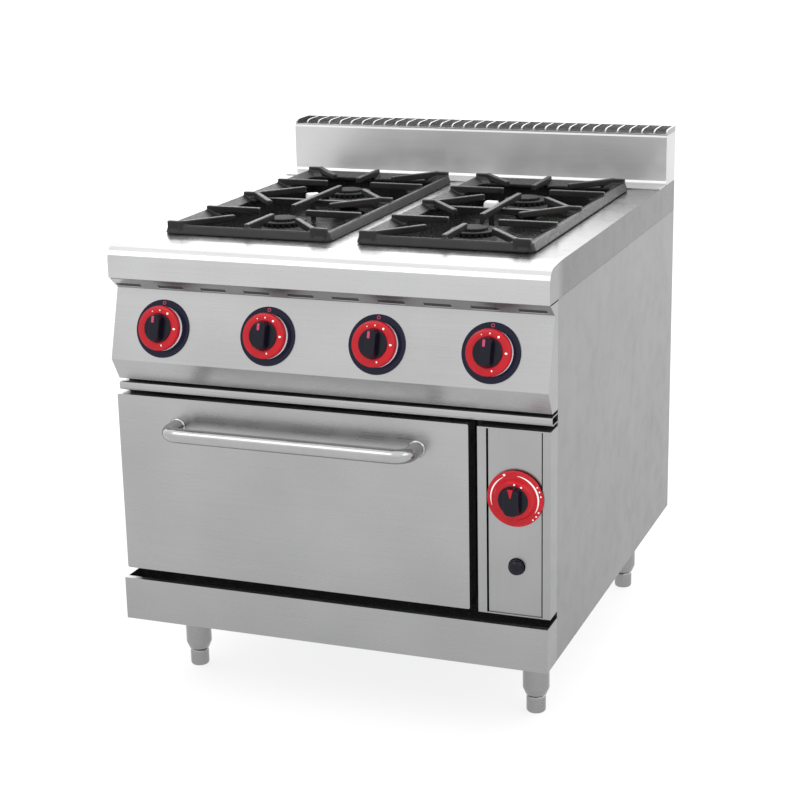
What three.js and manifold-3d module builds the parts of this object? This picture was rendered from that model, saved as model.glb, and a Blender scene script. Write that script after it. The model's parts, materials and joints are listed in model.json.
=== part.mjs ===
// A free-standing commercial gas range: four open burners on a pressed worktop, an oven with a
// drop-down door, a control column beside it, a flue riser at the back and four adjustable legs.
//
// Units are millimetres and +Z is up. The parts are drawn in the range's own frame: X runs from
// the left side (0) to the right side, Y from the front edge of the worktop (0) to the back, and
// Z from the floor. The exported group moves that frame so that its origin is at the bottom
// centre of the whole object.
import * as THREE from 'three';
import { mergeVertices } from 'three/addons/utils/BufferGeometryUtils.js';
import Module from 'manifold-3d';

const wasm = await Module();
wasm.setup();

// ---------------------------------------------------------------- driving dimensions

const GAP = 0.3; // clearance between touching pieces
const SHEET = 2; // thickness of the steel sheet

const WIDTH = 800; // body width
const DEPTH = 900; // body depth, worktop front edge to back
const WORKTOP_Z = 841; // top surface of the worktop
const SKIRT_Z = 780; // lower edge of the worktop's skirt
const BODY_FRONT_Y = 50; // front edge of the side panels
const BODY_BOTTOM_Z = 145; // underside of the body

const NOSE_RADIUS = 27; // rounded front edge of the worktop
const NOSE_RUN = 60; // distance over which the nose falls away
const NOSE_DROP = 2;

const PANEL_TOP = [30, 757]; // control panel corners, as [y, z]
const PANEL_LIP = [4.5, 777.8];
const PANEL_EDGE = [-7, 635];
const PANEL_FOOT = [17, 594.5];
const VENT_COUNT = 10;
const VENT_LENGTH = 48;
const VENT_PITCH = 82;
const VENT_START_X = 4;

const KNOB_FIRST_X = 96.3;
const KNOB_PITCH = 200.5;
const KNOB_COUNT = 4;
const KNOB_SEAT = 0.47; // how far up the panel's face the knobs sit
const BEZEL_RADIUS = 51;
const BEZEL_THICKNESS = 2.6;
const KNOB_RADIUS = 39;
const KNOB_BASE = BEZEL_THICKNESS + 2 * GAP;
const KNOB_FACE = 20; // height of the marked ring above the panel
const KNOB_TOP = 37;
const GRIP_WIDTH = 21;
const GRIP_LENGTH = 48;
const SPINDLE_RADIUS = 4;
const SPINDLE_HOLE_RADIUS = 7;

const RAIL_FRONT_Y = 16; // drip rail between the control panel and the door
const RAIL_BOTTOM_Z = 572.8;
const RAIL_TOP_Z = 588.8;

const DOOR_WIDTH = 658;
const DOOR_BOTTOM_Z = 239;
const DOOR_TOP_Z = 568;
const DOOR_FRONT_Y = 6;
const DOOR_RETURN_Y = 42;
const DOOR_CORNER = 3;
const DOOR_LINER_BACK_Y = 44.5;
const HINGE_Y = 16;
const HINGE_Z = 252;
const HINGE_PIN_RADIUS = 5;
const HINGE_BORE_RADIUS = 5.4;
const HANDLE_RADIUS = 13;
const HANDLE_LEFT_X = 116.5;
const HANDLE_RIGHT_X = 566.5;
const HANDLE_BAR_Y = -45;
const HANDLE_Z = 517;
const HANDLE_WALL = 2;
const HANDLE_BEND = 24;

const COLUMN_LEFT_X = 673;
const COLUMN_BOTTOM_Z = 236;
const COLUMN_TOP_Z = 566;
const COLUMN_FRONT_Y = 8;
const PLATE_LEFT_X = 688.5; // opening in the column, closed by the control plate
const PLATE_RIGHT_X = 786.5;
const PLATE_GROOVE = 2.8; // gap on each side of the control plate
const PLATE_Y = 11;
const WINDOW_LEFT_X = 696; // opening behind the control plate, for the oven valve
const WINDOW_RIGHT_X = 782;
const DIAL_X = 739.5;
const DIAL_Z = 446.5;
const DIAL_RADIUS = 49;
const IGNITER_X = 740.5;
const IGNITER_Z = 324.5;
const IGNITER_RADIUS = 14.5;

const PLINTH_FRONT_Y = -8;
const PLINTH_TOP_Z = 224;

const CAVITY = { x0: 60, x1: 600, y1: 750, z0: 285, z1: 540 };
const LINER_BOTTOM_Z = 232;
const FRAME_BOTTOM_Z = 150;
const FRAME_TOP_Z = 612;
const SOLE_THICKNESS = 4;
const RACK_Z = 412;
const OVEN_BURNER_Z = 257;

const RISER_Y = 824;
const RISER_TOP_Z = 940;
const RISER_FOOT_Y = 768;
const RISER_EDGE = 3.5; // slanted fold along the riser's top edge
const CAP_TOP_Z = 951;
const CAP_SLOTS = 32;
const CAP_SLOT_WIDTH = 21.6;
const CAP_RIB_WIDTH = 3.3;

const GRATE_WIDTH = 320;
const GRATE_DEPTH = 648;
const GRATE_X = [217, 583]; // centre of each grate
const GRATE_Y = 428;
const GRATE_HEIGHT = 22;
const RIM_HEIGHT = 15;
const RIM_WIDTH = 27;
const RIM_SLOPE = 5; // the outer face leans in by this much
const RIM_CREST = 9; // the inner face starts this far from the outer edge
const RIM_INNER_HEIGHT = 6; // height of the rim at its inner edge
const FINGER_WIDTH = 9;
const FINGER_DEPTH = 12;
const FINGER_INSET = 7; // the fingers start this far inside the rim
const BURNER_OFFSET = 160; // burners are this far in front of and behind a grate's centre
const BURNER_RING = 46; // the straight fingers stop this far from the burner's axis
const DIAGONAL_RING = 98;
const DIAGONAL_ROOT = 26; // straight stretch of a diagonal finger before it bends
const WELL_MARGIN = 12; // a well is this much smaller than its grate, on each side

const TRAY_FLOOR_Z = 800;
const TRAY_WALL = 1;
const BURNER_RADIUS = 42;
const BURNER_CAP_BASE_Z = 836.3;
const BURNER_CAP_TOP_Z = 850;
const PILOT_TOP_Z = 851;
const PILOT_TURN = [32, 0]; // degrees that each pilot's shield is turned
const MIXING_TUBE_Z = 766;
const MIXING_TUBE_LENGTH = 105;

const LEG_X = [65, 735];
const LEG_Y = [144, 781];
const LEG_RADIUS = 24;
const FOOT_RADIUS = 17.5;
const FOOT_STEM_RADIUS = 8;

const PIPE_RADIUS = 11;
const ROUND = 16; // sides of a round piece
const FINE = 24; // sides of a large round piece
const PLAIN = 12; // sides of a small or hidden round piece

// ---------------------------------------------------------------- materials

function metal(color, roughness, metalness) {
  return new THREE.MeshStandardMaterial({ color, roughness, metalness });
}

const steel = () => metal(0xc4c5c6, 0.35, 0.9);
const darkSteel = () => metal(0x8c8d8f, 0.45, 0.9);
const polished = () => metal(0xdcdddf, 0.15, 1);
const blackEnamel = () => metal(0x17171a, 0.4, 0.2);
const castIron = () => metal(0x232325, 0.7, 0.3);
const brass = () => metal(0xb08d4a, 0.35, 0.9);
const bezelBlack = () => metal(0x14162a, 0.25, 0);
const redPlastic = () => metal(0xc4202a, 0.35, 0);
const blackPlastic = () => metal(0x15161c, 0.35, 0);
const ceramic = () => metal(0xf2f2ee, 0.4, 0);
const rubber = () => metal(0x202022, 0.8, 0);

// ---------------------------------------------------------------- solids

// Turns a closed three.js geometry into a solid whose faces point out.
function solid(geometry) {
  const bare = geometry.clone();
  bare.deleteAttribute('normal');
  bare.deleteAttribute('uv');
  const merged = mergeVertices(bare, 1e-3);
  const vertProperties = new Float32Array(merged.attributes.position.array);
  const triVerts = new Uint32Array(merged.index.array);
  const made = new wasm.Manifold(new wasm.Mesh({ numProp: 3, vertProperties, triVerts }));
  if (made.volume() >= 0) {
    return made;
  }
  const turned = triVerts.map((_, i) => triVerts[i - (i % 3) + (2 - (i % 3))]);
  return new wasm.Manifold(new wasm.Mesh({ numProp: 3, vertProperties, triVerts: turned }));
}

function join(...solids) {
  return solids.flat().reduce((sum, next) => sum.add(next));
}

function cut(body, ...tools) {
  return tools.flat().reduce((rest, tool) => rest.subtract(tool), body);
}

function box(x0, y0, z0, x1, y1, z1) {
  const geometry = new THREE.BoxGeometry(x1 - x0, y1 - y0, z1 - z0);
  geometry.translate((x0 + x1) / 2, (y0 + y1) / 2, (z0 + z1) / 2);
  return solid(geometry);
}

function outline(points) {
  return new THREE.Shape(points.map(([u, v]) => new THREE.Vector2(u, v)));
}

// A prism along X, Y or Z of an outline given in the other two directions.
function prism(axis, points, low, high) {
  const shape = points instanceof THREE.Shape ? points : outline(points);
  const geometry = new THREE.ExtrudeGeometry(shape, {
    depth: high - low,
    bevelEnabled: false,
    curveSegments: 3,
  });
  const place = new THREE.Matrix4();
  const [x, y, z] = [0, 1, 2].map((i) => new THREE.Vector3().setComponent(i, 1));
  if (axis === 'x') {
    place.makeBasis(y, z, x).setPosition(low, 0, 0);
  } else if (axis === 'y') {
    place.makeBasis(x, z, y.clone().negate()).setPosition(0, high, 0);
  } else {
    place.makeBasis(x, y, z).setPosition(0, 0, low);
  }
  return solid(geometry.applyMatrix4(place));
}

// The outline of a bent sheet: it follows the points and is `thickness` deep on their right.
function sheetOutline(points, thickness) {
  const at = points.map(([u, v]) => new THREE.Vector2(u, v));
  const side = (a, b) => {
    const along = b.clone().sub(a).normalize();
    return new THREE.Vector2(along.y, -along.x);
  };
  const inner = at.map((point, i) => {
    const before = i > 0 ? side(at[i - 1], point) : side(point, at[i + 1]);
    const after = i < at.length - 1 ? side(point, at[i + 1]) : before;
    const mean = before.clone().add(after).normalize();
    return point.clone().addScaledVector(mean, thickness / mean.dot(before));
  });
  return [...at, ...inner.reverse()].map((p) => [p.x, p.y]);
}

// A turned solid about Z, from [radius, z] points that start and end on the axis or close.
function turned(points, sides = ROUND) {
  const profile = points.map(([r, z]) => new THREE.Vector2(r, z));
  const geometry = new THREE.LatheGeometry(profile, sides);
  return solid(geometry.rotateX(Math.PI / 2));
}

// A rod between two points.
function rod(from, to, radius, sides = ROUND) {
  const a = new THREE.Vector3(...from);
  const b = new THREE.Vector3(...to);
  const geometry = new THREE.CylinderGeometry(radius, radius, a.distanceTo(b), sides);
  const along = b.clone().sub(a).normalize();
  geometry.applyQuaternion(new THREE.Quaternion().setFromUnitVectors(new THREE.Vector3(0, 1, 0), along));
  geometry.translate(...a.clone().add(b).multiplyScalar(0.5).toArray());
  return solid(geometry);
}

// A path of straight runs joined by bends, with stations only where the direction changes.
class BentPath extends THREE.Curve {
  constructor(points, bend, bendSteps) {
    super();
    const at = points.map((p) => new THREE.Vector3(...p));
    const last = at.length - 1;
    this.stations = [at[0]];
    this.tangents = [at[1].clone().sub(at[0]).normalize()];
    for (let i = 1; i < last; i += 1) {
      const into = at[i].clone().sub(at[i - 1]).normalize();
      const out = at[i + 1].clone().sub(at[i]).normalize();
      const from = at[i].clone().addScaledVector(into, -bend);
      const to = at[i].clone().addScaledVector(out, bend);
      const corner = new THREE.QuadraticBezierCurve3(from, at[i], to);
      for (let k = 0; k <= bendSteps; k += 1) {
        this.stations.push(corner.getPoint(k / bendSteps));
        this.tangents.push(corner.getTangent(k / bendSteps));
      }
    }
    this.stations.push(at[last]);
    this.tangents.push(at[last].clone().sub(at[last - 1]).normalize());
    this.steps = this.stations.length - 1;
  }

  getPointAt(t) {
    return this.stations[Math.round(t * this.steps)].clone();
  }

  getTangentAt(t) {
    return this.tangents[Math.round(t * this.steps)].clone();
  }
}

// A round bar that follows straight runs joined by bends of one size.
function bentRod(points, radius, bend, sides = 10, bendSteps = 3) {
  const path = new BentPath(points, bend, bendSteps);
  const section = Array.from({ length: sides }, (_, i) => {
    const angle = (i / sides) * Math.PI * 2;
    return [radius * Math.cos(angle), radius * Math.sin(angle)];
  });
  return solid(new THREE.ExtrudeGeometry(outline(section), { steps: path.steps, extrudePath: path }));
}

function roundedRectangle(x0, z0, x1, z1, r) {
  const shape = new THREE.Shape();
  shape.moveTo(x0 + r, z0);
  shape.lineTo(x1 - r, z0);
  shape.absarc(x1 - r, z0 + r, r, -Math.PI / 2, 0, false);
  shape.lineTo(x1, z1 - r);
  shape.absarc(x1 - r, z1 - r, r, 0, Math.PI / 2, false);
  shape.lineTo(x0 + r, z1);
  shape.absarc(x0 + r, z1 - r, r, Math.PI / 2, Math.PI, false);
  shape.lineTo(x0, z0 + r);
  shape.absarc(x0 + r, z0 + r, r, Math.PI, Math.PI * 1.5, false);
  return shape;
}

// ---------------------------------------------------------------- the scene graph

const range = new THREE.Group();

function add(name, body, material, parent = range) {
  const raw = body.getMesh();
  const geometry = new THREE.BufferGeometry();
  geometry.setAttribute('position', new THREE.BufferAttribute(new Float32Array(raw.vertProperties), 3));
  geometry.setIndex(Array.from(raw.triVerts));
  geometry.computeVertexNormals();
  const mesh = new THREE.Mesh(geometry, material);
  mesh.name = name;
  parent.add(mesh);
  return mesh;
}

// ---------------------------------------------------------------- worktop and hob

function noseOutline() {
  const points = [[0, SKIRT_Z]];
  const noseTop = WORKTOP_Z - NOSE_DROP;
  const steps = 5;
  for (let i = 0; i <= steps; i += 1) {
    const angle = (i / steps) * (Math.PI / 2);
    points.push([
      NOSE_RADIUS * (1 - Math.cos(angle)),
      noseTop - NOSE_RADIUS * (1 - Math.sin(angle)),
    ]);
  }
  points.push([NOSE_RUN, WORKTOP_Z], [DEPTH, WORKTOP_Z], [DEPTH, SKIRT_Z]);
  return points;
}

function wellBox(centreX, margin, z0, z1) {
  const halfX = GRATE_WIDTH / 2 - margin;
  const halfY = GRATE_DEPTH / 2 - margin;
  return box(centreX - halfX, GRATE_Y - halfY, z0, centreX + halfX, GRATE_Y + halfY, z1);
}

const DUCT = { x0: 330, x1: 470, y0: 830, y1: 872 };

function worktop() {
  const profile = noseOutline();
  const inside = sheetOutline(profile, SHEET).slice(profile.length);
  inside[0][1] -= 5;
  inside[inside.length - 1][1] -= 5;
  const shell = cut(prism('x', profile, 0, WIDTH), prism('x', inside, SHEET, WIDTH - SHEET));
  const hem = box(1, 1, SKIRT_Z + 0.5, WIDTH - 1, 16, SKIRT_Z + 2.5);
  const wells = GRATE_X.map((x) => wellBox(x, WELL_MARGIN, SKIRT_Z, WORKTOP_Z + 5));
  const clear = 4;
  const duct = box(
    DUCT.x0 - clear, DUCT.y0 - clear, SKIRT_Z + 20,
    DUCT.x1 + clear, DUCT.y1 + clear, WORKTOP_Z + 5,
  );
  return cut(join(shell, hem), wells, duct);
}

function spillTray(centreX) {
  const flange = wellBox(centreX, 5, WORKTOP_Z + GAP, WORKTOP_Z + GAP + TRAY_WALL);
  const outer = wellBox(centreX, WELL_MARGIN + 3, TRAY_FLOOR_Z, WORKTOP_Z + GAP + TRAY_WALL / 2);
  const inner = wellBox(
    centreX, WELL_MARGIN + 3 + TRAY_WALL, TRAY_FLOOR_Z + TRAY_WALL, WORKTOP_Z + 10,
  );
  const throats = [-BURNER_OFFSET, BURNER_OFFSET].map((dy) =>
    rod([centreX, GRATE_Y + dy, TRAY_FLOOR_Z - 5], [centreX, GRATE_Y + dy, TRAY_FLOOR_Z + 10], 30));
  return cut(join(flange, outer), inner, throats);
}

// One bar of a grate, from a start point towards an end point in the grate's own plane.
function finger(from, to, rootLength) {
  const a = new THREE.Vector2(...from);
  const b = new THREE.Vector2(...to);
  const length = a.distanceTo(b);
  const half = FINGER_WIDTH / 2;
  const bar = box(0, -half, GRATE_HEIGHT - FINGER_DEPTH, length, half, GRATE_HEIGHT);
  const root = box(0, -half, 1, rootLength, half, GRATE_HEIGHT - 2);
  const angle = THREE.MathUtils.radToDeg(Math.atan2(b.y - a.y, b.x - a.x));
  return join(bar, root).rotate([0, 0, angle]).translate([a.x, a.y, 0]);
}

function towards(from, centre, ring) {
  const a = new THREE.Vector2(...from);
  const c = new THREE.Vector2(...centre);
  const reach = a.distanceTo(c) - ring;
  return a.clone().add(c.sub(a).setLength(reach)).toArray();
}

function grate() {
  const halfX = GRATE_WIDTH / 2;
  const halfY = GRATE_DEPTH / 2;
  const slab = (half) => [
    [-half, 0], [half, 0], [half - RIM_SLOPE, RIM_HEIGHT], [-half + RIM_SLOPE, RIM_HEIGHT],
  ];
  const sloped = prism('x', slab(halfY), -halfX, halfX).intersect(prism('y', slab(halfX), -halfY, halfY));
  const over = (RIM_WIDTH - RIM_CREST) / (RIM_HEIGHT - RIM_INNER_HEIGHT);
  const funnel = (half) => {
    const low = half - RIM_WIDTH;
    const high = half - RIM_CREST + over;
    return [[-low, -1], [low, -1], [low, RIM_INNER_HEIGHT], [high, RIM_HEIGHT + 1],
      [-high, RIM_HEIGHT + 1], [-low, RIM_INNER_HEIGHT]];
  };
  const hollow = prism('x', funnel(halfY), -halfX, halfX)
    .intersect(prism('y', funnel(halfX), -halfY, halfY));
  const rim = cut(sloped, hollow);
  const edgeX = halfX - FINGER_INSET;
  const edgeY = halfY - FINGER_INSET;
  const bendX = edgeX - DIAGONAL_ROOT;
  const bars = [];
  for (const side of [-1, 1]) {
    const centre = [0, side * BURNER_OFFSET];
    const straight = [[-edgeX, centre[1]], [edgeX, centre[1]], [0, side * edgeY]];
    bars.push(...straight.map((p) => finger(p, towards(p, centre, BURNER_RING), RIM_WIDTH)));
    for (const end of [-1, 1]) {
      const corner = [end * bendX, side * edgeY];
      const middle = [end * bendX, 0];
      bars.push(finger([end * edgeX, side * edgeY], corner, DIAGONAL_ROOT));
      bars.push(finger(corner, towards(corner, centre, DIAGONAL_RING), 16));
      bars.push(finger(middle, towards(middle, centre, DIAGONAL_RING), 16));
    }
  }
  for (const end of [-1, 1]) {
    bars.push(finger([end * edgeX, 0], [end * (bendX - 3), 0], DIAGONAL_ROOT));
  }
  const middle = BURNER_OFFSET - BURNER_RING;
  bars.push(finger([0, -middle], [0, middle], 1));
  const crossbar = box(-edgeX, -6, 1, edgeX, 6, GRATE_HEIGHT - FINGER_DEPTH + 2);
  return join(rim, crossbar, bars);
}

function burnerBody() {
  const neck = 20;
  const bowl = turned([
    [0, MIXING_TUBE_Z - 18], [neck, MIXING_TUBE_Z - 18], [neck, 810],
    [BURNER_RADIUS - 2, 824], [BURNER_RADIUS - 2, BURNER_CAP_BASE_Z - GAP],
    [BURNER_RADIUS - 7, BURNER_CAP_BASE_Z - GAP], [BURNER_RADIUS - 9, 824], [0, 816],
  ]);
  const tube = rod([0, 0, MIXING_TUBE_Z], [0, -MIXING_TUBE_LENGTH, MIXING_TUBE_Z], 14, PLAIN);
  const mouth = rod(
    [0, 22 - MIXING_TUBE_LENGTH, MIXING_TUBE_Z], [0, -MIXING_TUBE_LENGTH, MIXING_TUBE_Z], 18, PLAIN,
  );
  const bore = rod([0, -30, MIXING_TUBE_Z], [0, -MIXING_TUBE_LENGTH - 5, MIXING_TUBE_Z], 11, PLAIN);
  return cut(join(bowl, tube, mouth), bore);
}

function burnerCap() {
  const z0 = BURNER_CAP_BASE_Z;
  const z1 = BURNER_CAP_TOP_Z;
  const spigot = BURNER_RADIUS - 10.5;
  const disc = turned([
    [0, z0 - 5], [spigot, z0 - 5], [spigot, z0], [BURNER_RADIUS, z0], [BURNER_RADIUS, z0 + 9],
    [BURNER_RADIUS - 4, z1 - 1.5], [20, z1 - 1.5], [14, z1], [0, z1],
  ], FINE);
  const ports = 12;
  const notches = Array.from({ length: ports }, (_, i) =>
    box(BURNER_RADIUS - 6, -1.6, z0 - 1, BURNER_RADIUS + 3, 1.6, z0 + 6)
      .rotate([0, 0, (i * 360) / ports]));
  return cut(disc, notches);
}

function pilot() {
  const post = rod([0, 0, TRAY_FLOOR_Z + TRAY_WALL + GAP], [0, 0, 842], 5, 8);
  const head = box(-13, -10, 840, 13, 10, PILOT_TOP_Z);
  return join(post, head);
}

add('worktop', worktop(), steel());
['left', 'right'].forEach((side, i) => {
  add(`spill_tray_${side}`, spillTray(GRATE_X[i]), blackEnamel());
  const grateBase = WORKTOP_Z + TRAY_WALL + 2 * GAP;
  add(`grate_${side}`, grate(), castIron()).position.set(GRATE_X[i], GRATE_Y, grateBase);
  const shield = add(`pilot_${side}`, pilot(), ceramic());
  shield.position.set(GRATE_X[i] - 47, GRATE_Y + 86, 0);
  shield.rotation.z = THREE.MathUtils.degToRad(PILOT_TURN[i]);
});

const BURNERS = [
  [GRATE_X[0], GRATE_Y + BURNER_OFFSET],
  [GRATE_X[0], GRATE_Y - BURNER_OFFSET],
  [GRATE_X[1], GRATE_Y - BURNER_OFFSET],
  [GRATE_X[1], GRATE_Y + BURNER_OFFSET],
];
BURNERS.forEach(([x, y], i) => {
  add(`burner_body_${i + 1}`, burnerBody(), castIron()).position.set(x, y, 0);
  add(`burner_cap_${i + 1}`, burnerCap(), castIron()).position.set(x, y, 0);
});

// ---------------------------------------------------------------- control panel and knobs

const panelRun = new THREE.Vector2(PANEL_TOP[0] - PANEL_EDGE[0], PANEL_TOP[1] - PANEL_EDGE[1]);
const panelSeat = PANEL_EDGE.map((low, i) => low + (PANEL_TOP[i] - low) * KNOB_SEAT);

// A frame on the sloping panel: X to the right, Y up the panel and Z straight out of it.
function onPanel(x) {
  const frame = new THREE.Group();
  frame.position.set(x, panelSeat[0], panelSeat[1]);
  frame.rotation.x = panelRun.angle();
  range.add(frame);
  return frame;
}

const knobX = Array.from({ length: KNOB_COUNT }, (_, i) => KNOB_FIRST_X + i * KNOB_PITCH);

function controlPanel() {
  const backY = BODY_FRONT_Y - GAP;
  const front = [PANEL_LIP, PANEL_TOP, PANEL_EDGE, PANEL_FOOT, [backY, PANEL_FOOT[1]]];
  const skin = prism('x', sheetOutline([...front].reverse(), SHEET), 0, WIDTH);
  const side = [...front, [backY, PANEL_LIP[1]]];
  const cheeks = [prism('x', side, 0, SHEET), prism('x', side, WIDTH - SHEET, WIDTH)];
  const out = new THREE.Vector3(0, -panelRun.y, panelRun.x).normalize();
  const holes = knobX.map((x) => {
    const middle = new THREE.Vector3(x, ...panelSeat);
    const from = middle.clone().addScaledVector(out, 10);
    const to = middle.clone().addScaledVector(out, -10);
    return rod(from.toArray(), to.toArray(), SPINDLE_HOLE_RADIUS, PLAIN);
  });
  const vents = Array.from({ length: VENT_COUNT }, (_, i) => {
    const x = VENT_START_X + i * VENT_PITCH;
    return box(x, 17, 750, x + VENT_LENGTH, 26, 780);
  });
  return cut(join(skin, cheeks), holes, vents);
}

function knobBezel() {
  return turned([
    [SPINDLE_HOLE_RADIUS, GAP], [BEZEL_RADIUS, GAP], [BEZEL_RADIUS - 1, BEZEL_THICKNESS],
    [SPINDLE_HOLE_RADIUS, BEZEL_THICKNESS], [SPINDLE_HOLE_RADIUS, GAP],
  ], FINE);
}

function gripBar(width, length, base, top) {
  const half = length / 2;
  const taper = [[-width / 2, base], [width / 2, base], [width / 2 - 3, top], [-width / 2 + 3, top]];
  const bar = prism('y', taper, -half, half);
  return bar.intersect(turned([[0, base - 1], [half, base - 1], [half - 2.5, top], [0, top]], FINE));
}

function knob() {
  const skirt = turned([
    [0, KNOB_BASE], [KNOB_RADIUS, KNOB_BASE], [KNOB_RADIUS, KNOB_FACE - 3],
    [KNOB_RADIUS - 3, KNOB_FACE], [26, KNOB_FACE], [24, KNOB_FACE + 3], [0, KNOB_FACE + 3],
  ], FINE);
  const spindle = rod([0, 0, -50], [0, 0, KNOB_BASE + 1], SPINDLE_RADIUS, 8);
  return join(skirt, gripBar(GRIP_WIDTH, GRIP_LENGTH, KNOB_FACE + 1, KNOB_TOP), spindle);
}

const PIPE_UP = -25; // the manifold's place below and behind a knob, in the panel's frame
const PIPE_OUT = -52;

function valveBody() {
  const barrel = rod([0, 0, -72], [0, 0, -30], 13, PLAIN);
  const bonnet = box(-20, -12, -34, 20, 12, -30);
  const saddle = box(-11, PIPE_UP + PIPE_RADIUS + GAP, PIPE_OUT - 10, 11, 0, PIPE_OUT + 10);
  const bore = rod([0, 0, -52], [0, 0, -20], SPINDLE_RADIUS + 0.7, 8);
  return cut(join(barrel, bonnet, saddle), bore);
}

// Each burner's supply pipe, from its valve to the mouth of its mixing tube, in the range's frame.
function supplyRoute(index) {
  const [burnerX, burnerY] = BURNERS[index];
  const mouthY = burnerY - MIXING_TUBE_LENGTH;
  const startY = panelSeat[0] + 62;
  const startZ = panelSeat[1] - 19;
  const outside = burnerX < WIDTH / 2 ? -1 : 1;
  const laneX = burnerY > GRATE_Y ? burnerX + outside * 60 : burnerX;
  return [
    [knobX[index], startY, startZ],
    [knobX[index], startY + 30, startZ - 9],
    [laneX, startY + 45, 735],
    [laneX, mouthY - 32, 745],
    [burnerX, mouthY - 22, MIXING_TUBE_Z],
    [burnerX, mouthY + 6, MIXING_TUBE_Z],
  ];
}

add('control_panel', controlPanel(), steel());
knobX.forEach((x, i) => {
  const frame = onPanel(x);
  add(`knob_bezel_${i + 1}`, knobBezel(), bezelBlack(), frame);
  add(`knob_${i + 1}`, knob(), redPlastic(), frame);
  const tilt = THREE.MathUtils.radToDeg(panelRun.angle());
  const placed = valveBody().rotate([tilt, 0, 0]).translate([x, ...panelSeat]);
  add(`burner_valve_${i + 1}`, join(placed, bentRod(supplyRoute(i), 4, 9, 6, 2)), brass());
});

// ---------------------------------------------------------------- casing

function dripRail() {
  const z0 = RAIL_BOTTOM_Z;
  const z1 = RAIL_TOP_Z;
  const y = RAIL_FRONT_Y;
  const backY = BODY_FRONT_Y - GAP;
  return prism('x', sheetOutline([
    [backY, z0], [y + 4, z0], [y + 1, z0 + 1.5], [y, z0 + 5],
    [y, z1 - 5], [y + 1, z1 - 1.5], [y + 4, z1], [backY, z1],
  ], SHEET), 0, WIDTH);
}

// A side panel with inward returns at its front and back. `out` is -1 on the left, 1 on the right.
function sidePanel(out) {
  const y0 = BODY_FRONT_Y;
  const returnY = BODY_FRONT_Y + SHEET + 2 * GAP;
  const wide = 20;
  const outer = out < 0 ? 0 : WIDTH;
  const x = (inset) => outer - out * inset;
  const points = [
    [x(0), y0], [x(SHEET), y0], [x(SHEET), returnY], [x(wide), returnY], [x(wide), returnY + SHEET],
    [x(SHEET), returnY + SHEET], [x(SHEET), DEPTH - SHEET], [x(wide), DEPTH - SHEET],
    [x(wide), DEPTH], [x(0), DEPTH],
  ];
  return prism('z', points, BODY_BOTTOM_Z, SKIRT_Z - GAP);
}

const BACK_Y = 876;
const GAS_INLET = [762, 200]; // x and z of the gas inlet

function backPanel() {
  const inset = SHEET + GAP;
  const plate = box(inset, BACK_Y, BODY_BOTTOM_Z + SHEET + GAP, WIDTH - inset, BACK_Y + SHEET, 838);
  const slots = [];
  for (const z of [640, 670]) {
    for (let i = 0; i < 5; i += 1) {
      const x = 125 + i * 115;
      slots.push(box(x, BACK_Y - 5, z, x + 90, BACK_Y + 5, z + 9));
    }
  }
  const inlet = rod([GAS_INLET[0], BACK_Y - 5, GAS_INLET[1]], [GAS_INLET[0], BACK_Y + 5, GAS_INLET[1]], 15);
  return cut(plate, slots, inlet);
}

function basePan() {
  const inset = SHEET + GAP;
  const y0 = BODY_FRONT_Y + 2 * SHEET + 3 * GAP;
  const y1 = BACK_Y - GAP;
  const rise = 16;
  const tray = box(inset, y0, BODY_BOTTOM_Z, WIDTH - inset, y1, BODY_BOTTOM_Z + SHEET);
  const lips = [
    box(inset + 20, y0 + 4, BODY_BOTTOM_Z + 1, inset + 22, y1 - 2, BODY_BOTTOM_Z + rise),
    box(WIDTH - inset - 22, y0 + 4, BODY_BOTTOM_Z + 1, WIDTH - inset - 20, y1 - 2, BODY_BOTTOM_Z + rise),
  ];
  const airSlots = [0, 1, 2, 3].map((i) => box(230, 300 + i * 60, 140, 430, 320 + i * 60, 150));
  return cut(join(tray, lips), airSlots);
}

function plinth() {
  const y0 = PLINTH_FRONT_Y;
  const y1 = BODY_FRONT_Y - GAP;
  const skirt = cut(
    box(0, y0, BODY_BOTTOM_Z, WIDTH, y1, PLINTH_TOP_Z),
    box(SHEET, y0 + SHEET, BODY_BOTTOM_Z - 1, WIDTH - SHEET, y1 + 1, PLINTH_TOP_Z + 1),
  );
  const lip = box(1, y0 + 1, PLINTH_TOP_Z - SHEET, WIDTH - 1, y0 + 11, PLINTH_TOP_Z);
  const foot = box(1, y0 + 1, BODY_BOTTOM_Z, WIDTH - 1, y0 + 18, BODY_BOTTOM_Z + SHEET);
  return join(skirt, lip, foot);
}

add('drip_rail', dripRail(), steel());
add('side_panel_left', sidePanel(-1), steel());
add('side_panel_right', sidePanel(1), steel());
add('back_panel', backPanel(), darkSteel());
add('base_pan', basePan(), darkSteel());
add('plinth', plinth(), steel());

// ---------------------------------------------------------------- flue riser

function flueRiser() {
  const z0 = WORKTOP_Z + GAP;
  const bend = 7;
  const front = [
    [RISER_FOOT_Y, z0 + SHEET], [RISER_Y - bend, z0 + SHEET], [RISER_Y - bend * 0.3, z0 + SHEET + bend * 0.3],
    [RISER_Y, z0 + SHEET + bend], [RISER_Y, RISER_TOP_Z - RISER_EDGE],
    [RISER_Y + RISER_EDGE, RISER_TOP_Z],
  ];
  const skin = prism('x', sheetOutline(front, SHEET), 0, WIDTH);
  const inside = RISER_Y + SHEET / 2; // the end walls start within the front sheet's thickness
  const side = [
    [inside, z0], [DEPTH, z0], [DEPTH, RISER_TOP_Z], [inside + RISER_EDGE, RISER_TOP_Z],
    [inside, RISER_TOP_Z - RISER_EDGE],
  ];
  return join(
    skin,
    prism('x', side, 0, SHEET),
    prism('x', side, WIDTH - SHEET, WIDTH),
    box(0, DEPTH - SHEET, z0, WIDTH, DEPTH, RISER_TOP_Z),
  );
}

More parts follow.
